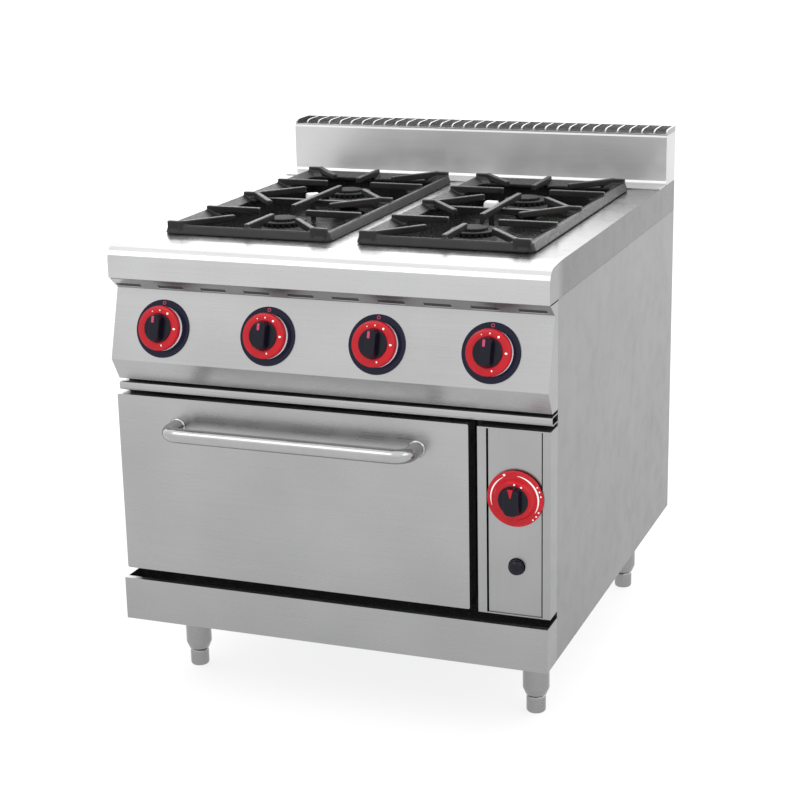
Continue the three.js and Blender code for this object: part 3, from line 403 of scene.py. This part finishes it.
materials = {
    "stainless_steel": body_steel(
        "stainless steel", (0.385, 0.385, 0.388), 0.3, GRAIN_SIDEWAYS, side_shade=0.75),
    # Painted shade: the side panels get a darker copy of the steel.
    "stainless_side": body_steel("shaded stainless steel side", (0.24, 0.24, 0.242), 0.36, GRAIN_UPRIGHT),
    "stainless_upright": body_steel(
        "stainless steel upright", (0.36, 0.36, 0.363), 0.32, GRAIN_UPRIGHT, side_shade=0.78),
    # Painted light and shade: the riser gets a brighter copy of the steel, with painted shade on its back.
    "stainless_riser": body_steel(
        "stainless steel riser", (0.53, 0.53, 0.533), 0.42, GRAIN_SIDEWAYS, 0.02, back_shade=0.55),
    "stainless_worktop": worktop_steel(),
    "stainless_round": body_steel("stainless steel turned", (0.34, 0.34, 0.343), 0.26, GRAIN_TURNED),
    "galvanised_steel": galvanised(),
    "black_enamel": enamel(),
    "cast_iron": cast_iron(),
    "burner_iron": plain("burner iron", (0.012, 0.012, 0.012), 0.6, fine=600.0, depth=0.0001, mottle=0.3,
                         Specular_IOR_Level=0.16),
    "pilot_ceramic": plain("pilot ceramic", (0.82, 0.82, 0.80), 0.35, fine=700.0),
    "oven_steel": plain("oven steel", (0.2, 0.2, 0.2), 0.5, 0.9, mottle=0.2),
    "chrome_wire": plain("chrome wire", (0.62, 0.62, 0.63), 0.16, 1.0, mottle=0.03),
    "gas_brass": plain("gas brass", (0.62, 0.42, 0.17), 0.33, 1.0, mottle=0.12),
    "red_plastic": plain("red plastic", (0.42, 0.003, 0.010), 0.22, fine=700.0, mottle=0.1,
                         Specular_IOR_Level=0.28),
    "black_plastic": plain("black plastic", (0.004, 0.004, 0.010), 0.2, fine=900.0,
                           Specular_IOR_Level=0.2),
    "bezel_plastic": plain("bezel plastic", (0.005, 0.005, 0.02), 0.16, fine=300.0, depth=0.00002,
                           Specular_IOR_Level=0.2),
    "polished_steel": plain("polished steel", (0.37, 0.37, 0.373), 0.16, 1.0, mottle=0.05),
    "gasket_rubber": plain("gasket rubber", (0.03, 0.03, 0.03), 0.75, fine=600.0, depth=0.0002),
    "white_plastic": plain("white plastic", (0.80, 0.79, 0.84), 0.28, fine=700.0, mottle=0.02),
    "white_print": plain("white print", (0.85, 0.85, 0.85), 0.4, mottle=0.02),
    "rose_print": plain("rose print", (0.42, 0.03, 0.09), 0.35, mottle=0.03),
}


# Mesh helpers

SHARP_ANGLE = math.radians(32)
BEVEL_ANGLE = math.radians(36)
FLAT_ANGLE = math.radians(0.5)

# Turns a piece drawn standing up so that it points out of the range's front.
OUT_OF_FRONT = Matrix(((1, 0, 0), (0, 0, -1), (0, 1, 0))).to_4x4()


def smooth_group():
    """A node group that shades a mesh smooth, with the edges over SHARP_ANGLE left sharp."""
    tree = bpy.data.node_groups.new("smooth by angle", "GeometryNodeTree")
    tree.is_modifier = True
    tree.interface.new_socket("Geometry", in_out="INPUT", socket_type="NodeSocketGeometry")
    tree.interface.new_socket("Geometry", in_out="OUTPUT", socket_type="NodeSocketGeometry")
    start = tree.nodes.new("NodeGroupInput")
    end = tree.nodes.new("NodeGroupOutput")
    faces = tree.nodes.new("GeometryNodeSetShadeSmooth")
    edges = tree.nodes.new("GeometryNodeSetShadeSmooth")
    edges.domain = "EDGE"
    edges.inputs["Shade Smooth"].default_value = False
    angle = tree.nodes.new("GeometryNodeInputMeshEdgeAngle")
    sharp = tree.nodes.new("FunctionNodeCompare")
    sharp.operation = "GREATER_THAN"
    sharp.inputs["B"].default_value = SHARP_ANGLE
    tree.links.new(angle.outputs["Unsigned Angle"], sharp.inputs["A"])
    tree.links.new(sharp.outputs[0], edges.inputs["Selection"])
    tree.links.new(start.outputs[0], faces.inputs[0])
    tree.links.new(faces.outputs[0], edges.inputs[0])
    tree.links.new(edges.outputs[0], end.inputs[0])
    return tree


SMOOTH = smooth_group()


def soften(piece, radius, segments=2):
    """Rounds a piece's edges, radius in millimetres, and shades it smooth between them."""
    flat = piece.modifiers.new("merge flat faces", "DECIMATE")
    flat.decimate_type = "DISSOLVE"
    flat.angle_limit = FLAT_ANGLE
    bevel = piece.modifiers.new("round edges", "BEVEL")
    bevel.width = radius * MM
    bevel.segments = segments
    bevel.limit_method = "ANGLE"
    bevel.angle_limit = BEVEL_ANGLE
    bevel.harden_normals = False
    shade = piece.modifiers.new("shade smooth", "NODES")
    shade.node_group = SMOOTH
    weights = piece.modifiers.new("face weights", "WEIGHTED_NORMAL")
    weights.keep_sharp = True


def piece_from(name, bm, material, body, matrix=None, replaces=()):
    """Makes a piece of a bmesh drawn in millimetres, places it and lets it ride on a CAD body."""
    bmesh.ops.recalc_face_normals(bm, faces=bm.faces)
    bmesh.ops.scale(bm, vec=(MM, MM, MM), verts=bm.verts)
    mesh = bpy.data.meshes.new(name)
    bm.to_mesh(mesh)
    bm.free()
    mesh.materials.append(materials[material])
    piece = bpy.data.objects.new(name, mesh)
    bpy.context.scene.collection.objects.link(piece)
    if matrix is not None:
        piece.matrix_world = matrix
    bpy.context.view_layer.update()
    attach(piece, body)
    if replaces:
        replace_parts(piece, *replaces)
    return piece


def lathe(bm, profile, sides=96, closed=False):
    """Turns a profile of (radius, height) pairs about z. It starts and ends on the axis or is closed."""
    rings = []
    for radius, height in profile:
        if radius == 0:
            rings.append([bm.verts.new((0, 0, height))])
            continue
        ring = []
        for i in range(sides):
            angle = 2 * math.pi * i / sides
            ring.append(bm.verts.new((radius * math.cos(angle), radius * math.sin(angle), height)))
        rings.append(ring)
    pairs = list(zip(rings, rings[1:]))
    if closed:
        pairs.append((rings[-1], rings[0]))
    for low, high in pairs:
        for i in range(sides):
            j = (i + 1) % sides
            corners = [low[i % len(low)], low[j % len(low)], high[j % len(high)], high[i % len(high)]]
            unique = list(dict.fromkeys(corners))
            if len(unique) > 2:
                bm.faces.new(unique)


def loft(bm, sections):
    """Joins outlines of equal length into a closed skin, with a flat face at each end."""
    rings = [[bm.verts.new(point) for point in section] for section in sections]
    count = len(rings[0])
    for low, high in zip(rings, rings[1:]):
        for i in range(count):
            j = (i + 1) % count
            bm.faces.new((low[i], low[j], high[j], high[i]))
    bm.faces.new(rings[0])
    bm.faces.new(rings[-1])


def rounded_rectangle(width, height, radius, steps=6, middle=(0, 0)):
    """A list of (x, y) points around a rectangle with round corners."""
    points = []
    for corner, (sx, sy) in enumerate(((1, 1), (-1, 1), (-1, -1), (1, -1))):
        cx = middle[0] + sx * (width / 2 - radius)
        cy = middle[1] + sy * (height / 2 - radius)
        for step in range(steps + 1):
            angle = math.pi / 2 * (corner + step / steps)
            points.append((cx + radius * math.cos(angle), cy + radius * math.sin(angle)))
    return points


def circle(radius, sides, middle=(0, 0)):
    return [
        (middle[0] + radius * math.cos(2 * math.pi * i / sides),
         middle[1] + radius * math.sin(2 * math.pi * i / sides))
        for i in range(sides)
    ]


def plate(bm, points, low, high):
    """A flat plate of an outline, between two heights."""
    loft(bm, [[(x, y, low) for x, y in points], [(x, y, high) for x, y in points]])


def crescent(radius, start, end, width, steps=28):
    """An arc about the origin, from start to end degrees, that narrows to its two ends."""
    outer, inner = [], []
    for i in range(steps + 1):
        share = i / steps
        angle = math.radians(start + (end - start) * share)
        half = max(0.12, width / 2 * math.sin(math.pi * share) ** 0.6)
        outer.append(((radius + half) * math.cos(angle), (radius + half) * math.sin(angle)))
        inner.append(((radius - half) * math.cos(angle), (radius - half) * math.sin(angle)))
    return outer + inner[::-1]


def on_clock(radius, hour):
    """The point at a radius and an hour of a clock face."""
    angle = math.pi / 2 - hour * math.pi / 6
    return radius * math.cos(angle), radius * math.sin(angle)


def flame(middle, size, hour):
    """A small flame outline that points outward at an hour of a clock face."""
    turn = math.pi / 2 - hour * math.pi / 6
    points = []
    for i in range(24):
        angle = 2 * math.pi * i / 24
        reach = size * (0.55 + 0.45 * max(0.0, math.cos(angle)) ** 3)
        points.append((
            middle[0] + reach * math.cos(angle + turn),
            middle[1] + reach * math.sin(angle + turn),
        ))
    return points


def block(bm, levels, middle=(0, 0)):
    """A block with rounded corners. Each level is a height, a width, a length and a corner radius."""
    loft(bm, [
        [(x, y, z) for x, y in rounded_rectangle(width, length, corner, middle=middle)]
        for z, width, length, corner in levels
    ])


def frame_at(joint):
    """The frame of a control: origin on the joint, z along its axis away from the panel, x to the right."""
    origin = Vector(joint["pos_m"])
    z = Vector(joint["axis"]).normalized()
    x = Vector((1, 0, 0))
    y = z.cross(x)
    return Matrix.Translation(origin) @ Matrix((x, y, z)).transposed().to_4x4()


def tube(bm, points, radius, sides=48):
    """A round tube with flat ends along points whose tangent turns in one plane."""
    sections = []
    for i, point in enumerate(points):
        before = points[max(i - 1, 0)]
        after = points[min(i + 1, len(points) - 1)]
        along = (Vector(after) - Vector(before)).normalized()
        side = Vector((0, 0, 1))
        across = side.cross(along).normalized()
        sections.append([
            Vector(point) + radius * (math.cos(a) * side + math.sin(a) * across)
            for a in (2 * math.pi * k / sides for k in range(sides))
        ])
    loft(bm, sections)


def filleted(points, radius, steps=12):
    """A path through points with its corners turned into arcs."""
    path = [Vector(points[0])]
    for before, corner, after in zip(points, points[1:], points[2:]):
        a = (Vector(before) - Vector(corner)).normalized()
        b = (Vector(after) - Vector(corner)).normalized()
        half = a.angle(b) / 2
        reach = radius / math.tan(half)
        centre = Vector(corner) + (a + b).normalized() * radius / math.sin(half)
        first = Vector(corner) + a * reach - centre
        last = Vector(corner) + b * reach - centre
        for step in range(steps + 1):
            path.append(centre + first.normalized().slerp(last.normalized(), step / steps) * radius)
    path.append(Vector(points[-1]))
    return path


# Controls. Their marks are plates sunk into the surface, low to high above the panel.

KNOB_MARK_RADIUS = 31
KNOB_MARK = (20.6, 21.4)
ZERO_MARK_RADIUS = 45.2
DIAL_MARK = (4.9, 5.5)
DIAL_TICK = (4.9, 5.45)
DIAL_HUB_MARK = (14.8, 15.4)


def knob(number):
    """A burner knob: white skirt, red ring with marks, black grip with a red pointer, and its spindle."""
    place = frame_at(joints[f"knob_{number}_turn"])
    body = f"knob_{number}_body"
    bm = bmesh.new()
    lathe(bm, [
        (0, -50), (4, -50), (4, 3.2), (38.4, 3.2), (39, 3.8), (39, 16.4), (37.4, 19.4),
        (36.6, 19.7), (25.5, 19.7), (25.5, 21), (0, 21),
    ])
    skirt = piece_from(f"knob_{number}_skirt", bm, "white_plastic", body, place, [f"knob_{number}"])
    soften(skirt, 0.5)
    bm = bmesh.new()
    lathe(bm, [
        (25.2, 19.2), (36, 19), (38.6, 11.4), (39.5, 11.4), (39.5, 16.6), (38, 19.6), (35.6, 20.8),
        (31, 21.2), (27, 21), (25.2, 20.3),
    ], closed=True)
    ring = piece_from(f"knob_{number}_ring", bm, "red_plastic", body, place)
    soften(ring, 0.4)
    bm = bmesh.new()
    lathe(bm, [(0, 19), (25.6, 19), (25.6, 21.6), (24.4, 22.8), (21, 23.2), (0, 23.2)])
    block(bm, (
        (22.5, 23, 50, 9), (27, 21.4, 48.4, 8.6), (34, 19.6, 46.4, 8), (36.3, 18, 44.6, 7.4),
        (37, 15.5, 42, 6.4),
    ))
    grip = piece_from(f"knob_{number}_grip", bm, "black_plastic", body, place)
    soften(grip, 0.5)
    bm = bmesh.new()
    block(bm, ((36, 5.2, 12.5, 1.6), (37.35, 4.6, 11.6, 1.6)), middle=(-2.6, 14))
    pointer = piece_from(f"knob_{number}_pointer", bm, "rose_print", body, place)
    soften(pointer, 0.2)
    bm = bmesh.new()
    for hour, size in ((12.1, 1.3), (1.1, 1.9), (11.2, 0.9)):
        plate(bm, circle(size, 20, on_clock(KNOB_MARK_RADIUS, hour)), *KNOB_MARK)
    for hour, size in ((3.0, 3.0), (5.4, 2.2)):
        plate(bm, flame(on_clock(KNOB_MARK_RADIUS, hour), size, hour), *KNOB_MARK)
    piece_from(f"knob_{number}_marks", bm, "white_print", body, place)


def bezel(number):
    """The glossy dark disc behind a knob, with a small red ring as its zero mark."""
    place = frame_at(joints[f"knob_{number}_turn"])
    bm = bmesh.new()
    lathe(bm, [(7, 0.3), (50, 0.3), (51, 0.9), (51, 1.6), (49.8, 2.5), (41, 2.6), (7, 2.6)], closed=True)
    disc = piece_from(f"knob_{number}_bezel", bm, "bezel_plastic", "range_body", place,
                      [f"knob_bezel_{number}"])
    soften(disc, 0.3)
    bm = bmesh.new()
    lathe(bm, [(2.0, 2.5), (3.3, 2.5), (3.3, 2.8), (2.0, 2.8)], 28, closed=True)
    bmesh.ops.translate(bm, vec=(0, ZERO_MARK_RADIUS, 0), verts=bm.verts)
    piece_from(f"knob_{number}_zero_mark", bm, "rose_print", "range_body", place)


def oven_dial():
    """The oven's red dial: a marked disc, a raised hub, a black grip with a red pointer."""
    place = frame_at(joints["oven_dial_turn"])
    body = "oven_dial_body"
    bm = bmesh.new()
    lathe(bm, [
        (0, -35), (4, -35), (4, 0.6), (48, 0.6), (49, 1.4), (49, 3.2), (48, 4.6), (46, 5.1),
        (38.5, 5.2), (36.8, 5.8), (33.4, 13.6), (31.6, 14.9), (27, 15.1), (0, 15.1),
    ])
    disc = piece_from("oven_dial_disc", bm, "red_plastic", body, place, ["oven_dial"])
    soften(disc, 0.5)
    bm = bmesh.new()
    lathe(bm, [(0, 14.5), (26, 14.5), (26, 16.2), (24.6, 17.4), (0, 17.6)])
    block(bm, (
        (17, 30, 50, 11), (21, 29, 48.6, 11), (28, 27, 46.4, 10), (30.4, 25, 44, 9), (31, 22, 41, 8),
    ))
    grip = piece_from("oven_dial_grip", bm, "black_plastic", body, place)
    soften(grip, 0.5)
    bm = bmesh.new()
    wedge = [(-4.6, 24.4), (4.6, 24.4), (1.0, 9.5), (-1.0, 9.5)]
    plate(bm, wedge, 29.5, 31.35)
    pointer = piece_from("oven_dial_pointer", bm, "red_plastic", body, place)
    soften(pointer, 0.3)
    bm = bmesh.new()
    plate(bm, crescent(41.6, 200, 118, 2.2), *DIAL_MARK)
    plate(bm, crescent(41.0, 84, -32, 3.0), *DIAL_MARK)
    for hour in (1.95, 2.3, 2.65, 3.85, 4.2, 4.55):
        plate(bm, circle(1.35, 18, on_clock(45.9, hour)), *DIAL_MARK)
    plate(bm, circle(2.1, 22, on_clock(44.5, 11.2)), *DIAL_MARK)
    for hour in (12.15, 1.0):
        plate(bm, circle(1.7, 20, on_clock(28.6, hour)), *DIAL_HUB_MARK)
    piece_from("oven_dial_marks", bm, "white_print", body, place)
    bm = bmesh.new()
    for hour in (12.2, 12.45, 12.7, 1.2, 1.45, 3.2, 5.2, 5.5, 5.8, 9.2, 9.5):
        plate(bm, circle(0.8, 14, on_clock(45.6, hour)), *DIAL_TICK)
    piece_from("oven_dial_ticks", bm, "rose_print", body, place)


def igniter():
    """The igniter's domed push button, with its stem through the control plate."""
    low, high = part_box("igniter_button")
    middle = (low + high) / 2
    plate_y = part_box("oven_control_plate")[0].y
    place = Matrix.Translation((middle.x, plate_y, middle.z)) @ OUT_OF_FRONT
    reach = (plate_y - low.y) / MM
    tail = (high.y - plate_y) / MM
    radius = 13.8
    rise = 9
    steps = 8
    angles = [math.pi / 2 * step / steps for step in range(steps)]
    dome = [(radius * math.cos(angle), reach - rise + rise * math.sin(angle)) for angle in angles]
    bm = bmesh.new()
    lathe(bm, [(0, -tail), (5, -tail), (5, 0.6), (13, 0.6), (radius, 1.6), *dome, (0, reach)], 64)
    button = piece_from("igniter_cap", bm, "black_plastic", "igniter_body", place,
                        ["igniter_button"])
    soften(button, 0.3)


# Door, handle and feet

HANDLE_BEND = 26


def door_handle():
    """The oven door's tube handle, with a weld collar at each end."""
    low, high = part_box("door_handle")
    radius = (high.z - low.z) / 2 / MM
    z = (high.z + low.z) / 2 / MM
    left = low.x / MM + radius
    right = high.x / MM - radius
    bar = low.y / MM + radius
    end = high.y / MM
    path = filleted([(left, end, z), (left, bar, z), (right, bar, z), (right, end, z)], HANDLE_BEND, 14)
    bm = bmesh.new()
    tube(bm, path, radius)
    handle = piece_from("handle_tube", bm, "polished_steel", "oven_door", replaces=["door_handle"])
    soften(handle, 0.4)
    for name, x in (("left", left), ("right", right)):
        bm = bmesh.new()
        lathe(bm, [
            (radius - 0.2, 0), (radius + 2.6, 0), (radius + 2.2, 1.2), (radius + 0.8, 2.4),
            (radius - 0.2, 3.0),
        ], 64, closed=True)
        place = Matrix.Translation((x * MM, end * MM, z * MM)) @ OUT_OF_FRONT
        collar = piece_from(f"handle_weld_{name}", bm, "polished_steel", "oven_door", place)
        soften(collar, 0.3)


def leg(corner):
    """A tubular leg with a turned collar, and its adjustable foot."""
    low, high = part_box(f"leg_{corner}")
    x, y = (low.x + high.x) / 2, (low.y + high.y) / 2
    top = high.z / MM
    bm = bmesh.new()
    lathe(bm, [
        (9, top), (24, top), (24, 47.4), (23.2, 45.2), (19.2, 35.2), (17.8, 34), (9, 34),
    ], 80, closed=True)
    place = Matrix.Translation((x, y, 0))
    sleeve = piece_from(f"leg_{corner}_sleeve", bm, "stainless_round", "range_body", place,
                        [f"leg_{corner}"])
    soften(sleeve, 0.7, 3)
    foot_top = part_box(f"foot_{corner}")[1].z / MM
    bm = bmesh.new()
    lathe(bm, [
        (0, 0), (12, 0), (15.6, 1.0), (17.2, 3.4), (17.5, 6.6), (17.5, 27), (17.1, 30.2), (15.4, 32.4),
        (13, 33), (8, 33), (8, foot_top), (0, foot_top),
    ], 80)
    foot = piece_from(f"foot_{corner}_bullet", bm, "stainless_round", f"foot_{corner}_body", place,
                      [f"foot_{corner}"])
    soften(foot, 0.6, 3)


# Hob

GRATE_RIM = 27
GRATE_FINGER = 9
GRATE_FINGER_DEPTH = 12
GRATE_FINGER_INSET = 7
GRATE_FINGER_GAP = 46  # between the tip of a straight finger and the burner's axis
GRATE_DIAGONAL_GAP = 98
GRATE_DIAGONAL_ROOT = 26  # the stretch of a diagonal finger before its bend
GRATE_WEB = 13
GRATE_CORNER_WEB = 20
GRATE_WEB_HEIGHTS = (1, 6.4)
GRATE_BURNER = 160  # from the middle of a grate to a burner's axis
CASTING_VOXEL = 1.2


def grate_bar(bm, start, end, height, root):
    """One finger: a vertical outer end, a flat top, an arched underside and a blunt tip."""
    a, b = Vector(start), Vector(end)
    along = (b - a).normalized()
    across = Vector((-along.y, along.x)) * GRATE_FINGER / 2
    length = (b - a).length
    under = height - GRATE_FINGER_DEPTH
    profile = [(0, 1), (root, 1)]
    arch = min(16, length - root)
    if arch > 0:
        for i in range(1, 7):
            angle = math.pi / 2 * i / 6
            rise = 1 + (under - 1) * math.sin(angle)
            profile.append((root + arch * (1 - math.cos(angle)), rise))
    profile += [(length, under + 1), (length, height - 1), (length - 1.2, height), (0, height)]
    loft(bm, [
        [(a.x + along.x * s + side * across.x, a.y + along.y * s + side * across.y, z) for s, z in profile]
        for side in (-1, 1)
    ])


def gusset(bm, corner, toward_x, toward_y, size):
    """A web that rounds the inner corner where a finger meets the rim."""
    points = [corner]
    for i in range(9):
        angle = math.pi / 2 * i / 8
        points.append((
            corner[0] + toward_x * size * (1 - math.sin(angle)),
            corner[1] + toward_y * size * (1 - math.cos(angle)),
        ))
    plate(bm, points, *GRATE_WEB_HEIGHTS)


def grate_rim(bm, half_x, half_y):
    """The rim: an outer wall that leans in, and a wide shelf that falls towards the openings."""
    levels = ((0, 0), (1.5, 0), (13.6, 4.4), (15, 6), (15, 8), (6, GRATE_RIM), (0, GRATE_RIM), (0, 8))
    rings = []
    for z, inset in levels:
        outline = rounded_rectangle(2 * (half_x - inset), 2 * (half_y - inset), max(3, 14 - inset))
        rings.append([bm.verts.new((x, y, z)) for x, y in outline])
    count = len(rings[0])
    for first, second in zip(rings, rings[1:] + rings[:1]):
        for i in range(count):
            j = (i + 1) % count
            bm.faces.new((first[i], first[j], second[j], second[i]))


def grate(side):
    """A cast grate over two burners, fused into one casting with rounded edges."""
    low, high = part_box(f"grate_{side}")
    size = (high - low) / MM
    half_x, half_y, height = size.x / 2, size.y / 2, size.z
    place = Matrix.Translation(((low.x + high.x) / 2, (low.y + high.y) / 2, low.z))
    bm = bmesh.new()
    grate_rim(bm, half_x, half_y)
    edge_x, edge_y = half_x - GRATE_FINGER_INSET, half_y - GRATE_FINGER_INSET
    bend_x = edge_x - GRATE_DIAGONAL_ROOT
    inner_x, inner_y = half_x - GRATE_RIM, half_y - GRATE_RIM
    web = GRATE_FINGER / 2
    for end in (-1, 1):
        centre = Vector((0, end * GRATE_BURNER))
        for x, y in ((-edge_x, centre.y), (edge_x, centre.y), (0, end * edge_y)):
            start = Vector((x, y))
            tip = centre + (start - centre).normalized() * GRATE_FINGER_GAP
            grate_bar(bm, start, tip, height, GRATE_RIM)
        for sx in (-1, 1):
            for y in (end * edge_y, 0):
                bend = Vector((sx * bend_x, y))
                tip = centre + (bend - centre).normalized() * GRATE_DIAGONAL_GAP
                grate_bar(bm, bend, tip, height, 14)
            grate_bar(bm, (sx * edge_x, end * edge_y), (sx * bend_x, end * edge_y), height,
                      GRATE_DIAGONAL_ROOT)
            gusset(bm, (sx * inner_x, centre.y + web), -sx, 1, GRATE_WEB)
            gusset(bm, (sx * inner_x, centre.y - web), -sx, -1, GRATE_WEB)
            gusset(bm, (sx * inner_x, end * web), -sx, end, GRATE_WEB)
            gusset(bm, (sx * inner_x, end * inner_y), -sx, -end, GRATE_CORNER_WEB)
            gusset(bm, (sx * web, end * inner_y), sx, -end, GRATE_WEB)
    for sx in (-1, 1):
        grate_bar(bm, (sx * edge_x, 0), (sx * (bend_x - 2), 0), height, GRATE_DIAGONAL_ROOT)
        for y in (-edge_y, 0, edge_y):
            stud = ((2, 6), (height - 1.5, 5.6), (height + 0.3, 4.6), (height + 0.7, 3))
            loft(bm, [
                [(px, py, z) for px, py in circle(radius, 20, (sx * bend_x, y))] for z, radius in stud
            ])
    middle = GRATE_BURNER - GRATE_FINGER_GAP
    grate_bar(bm, (0, -middle), (0, middle), height, 1)
    plate(bm, [(-edge_x, -6), (edge_x, -6), (edge_x, 6), (-edge_x, 6)], 1, 12)
    casting = piece_from(f"grate_{side}_casting", bm, "cast_iron", f"grate_{side}_body", place,
                         [f"grate_{side}"])
    fuse = casting.modifiers.new("fuse", "REMESH")
    fuse.mode = "VOXEL"
    fuse.voxel_size = CASTING_VOXEL * MM
    fuse.use_smooth_shade = True
    rounding = casting.modifiers.new("cast rounding", "SMOOTH")
    rounding.factor = 0.5
    rounding.iterations = 3


BURNER_SIDES = 144
BURNER_PORTS = 24
BURNER_SPIGOT = 5


def port_ring(z, radius, depth=0):
    """A circle around a burner, cut in by depth at each of its ports."""
    period = BURNER_SIDES // BURNER_PORTS
    points = []
    for i in range(BURNER_SIDES):
        angle = 2 * math.pi * i / BURNER_SIDES
        reach = radius - depth if i % period in (0, 1) else radius
        points.append((reach * math.cos(angle), reach * math.sin(angle), z))
    return points


def burner(number):
    """A burner's cap: a ring with ports around a raised crown, on a spigot."""
    low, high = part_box(f"burner_cap_{number}")
    x, y = (low.x + high.x) / 2, (low.y + high.y) / 2
    place = Matrix.Translation((x, y, 0))
    base, top = low.z / MM + BURNER_SPIGOT, high.z / MM
    outline = (
        (base - BURNER_SPIGOT, 31), (base, 31.2), (base + 0.1, 41, 5), (base + 1, 42, 5),
        (base + 6, 42, 5), (base + 6.3, 42), (base + 8.4, 42), (base + 9.2, 41), (base + 9.4, 37),
        (base + 8.6, 34.5), (base + 8.2, 27), (base + 8.6, 25.4, 3), (top - 2.4, 25, 3), (top - 2.1, 25),
        (top - 1, 24.6), (top - 0.2, 22.4), (top, 19), (top, 6),
    )
    bm = bmesh.new()
    loft(bm, [port_ring(*level) for level in outline])
    cap = piece_from(f"burner_{number}_cap", bm, "burner_iron", "range_body", place,
                     [f"burner_cap_{number}"])
    soften(cap, 0.35)


PILOT_TURN = {"left": 32, "right": 0}


def pilot(side):
    """The white ceramic shield over a pilot flame, on a dark post."""
    low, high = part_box(f"pilot_{side}")
    x, y = (low.x + high.x) / 2, (low.y + high.y) / 2
    turn = math.radians(PILOT_TURN[side])
    place = Matrix.Translation((x, y, 0)) @ Matrix.Rotation(turn, 4, "Z")
    bottom, top = low.z / MM, high.z / MM
    bm = bmesh.new()
    block(bm, (
        (top - 11, 25.2, 19.2, 3), (top - 9.5, 26, 20, 3), (top - 2.5, 25, 19, 3), (top, 22, 16, 2.4),
    ))
    shield = piece_from(f"pilot_{side}_shield", bm, "pilot_ceramic", "range_body", place,
                        [f"pilot_{side}"])
    soften(shield, 0.6, 3)
    bm = bmesh.new()
    lathe(bm, [(0, bottom), (5, bottom), (5, top - 10), (0, top - 10)], 32)
    post = piece_from(f"pilot_{side}_post", bm, "burner_iron", "range_body", place)
    soften(post, 0.3)


VENT_COUNT = 10
VENT_START = 4.3
VENT_PITCH = 82
VENT_LENGTH = 47.4
VENT_BAND = (16.6, 27.4)  # down the lip, from its top edge
VENT_DEPTHS = (0.5, 3)  # into the lip, from its outer face


def vent_slot_shade():
    """Painted shade: dark blocks set into the slots along the lip at the top of the control panel."""
    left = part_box("control_panel")[0].x / MM
    worktop_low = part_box("worktop")[0] / MM
    inward = Vector((0.632, 0.775))
    slope = Vector((inward.y, -inward.x))
    edge = Vector((worktop_low.y + 4.5, worktop_low.z - 2.2))
    near, far = (edge + slope * share for share in VENT_BAND)
    outer, inner = (inward * depth for depth in VENT_DEPTHS)
    outline = [near + outer, far + outer, far + inner, near + inner]
    bm = bmesh.new()
    for i in range(VENT_COUNT):
        start = left + VENT_START + VENT_PITCH * i
        loft(bm, [[(x, y, z) for y, z in outline] for x in (start, start + VENT_LENGTH)])
    piece_from("vent_slot_shade", bm, "black_enamel", "range_body")


# Build

make_camera()
make_world()
make_floor()
area_light("key", (-1.6, -2.6, 3.4), (0, 0, 0.5), (2.2, 1.6), 20)
area_light("fill", (2.6, -1.4, 2.4), (0, 0, 0.5), (1.4, 1.4), 8)
bpy.context.scene.view_settings.view_transform = "Standard"

FINISH_OF = {
    "side_panel_left": "stainless_side",
    "side_panel_right": "stainless_side",
    "column_frame": "stainless_upright",
    "oven_control_plate": "stainless_upright",
    "flue_riser": "stainless_riser",
    "worktop": "stainless_worktop",
}
EDGE_RADIUS = {"worktop": 1.2, "control_panel": 1.0, "door_panel": 1.6, "flue_grille": 0.5}
SLOT_OF = {part["node"]: part["material_slot"] for part in frame["record"]["subparts"]}

for number in (1, 2, 3, 4):
    knob(number)
    bezel(number)
    burner(number)
oven_dial()
igniter()
vent_slot_shade()
door_handle()
for corner in ("front_left", "front_right", "rear_left", "rear_right"):
    leg(corner)
for side in ("left", "right"):
    grate(side)
    pilot(side)

replaced = {name for piece in bpy.data.objects for name in piece.get("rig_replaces", ())}
for name, node in nodes.items():
    if name in replaced:
        continue
    slot = SLOT_OF[name]
    node.data.materials.clear()
    node.data.materials.append(materials[FINISH_OF.get(name, slot)])
    soften(node, EDGE_RADIUS.get(name, 0.6))
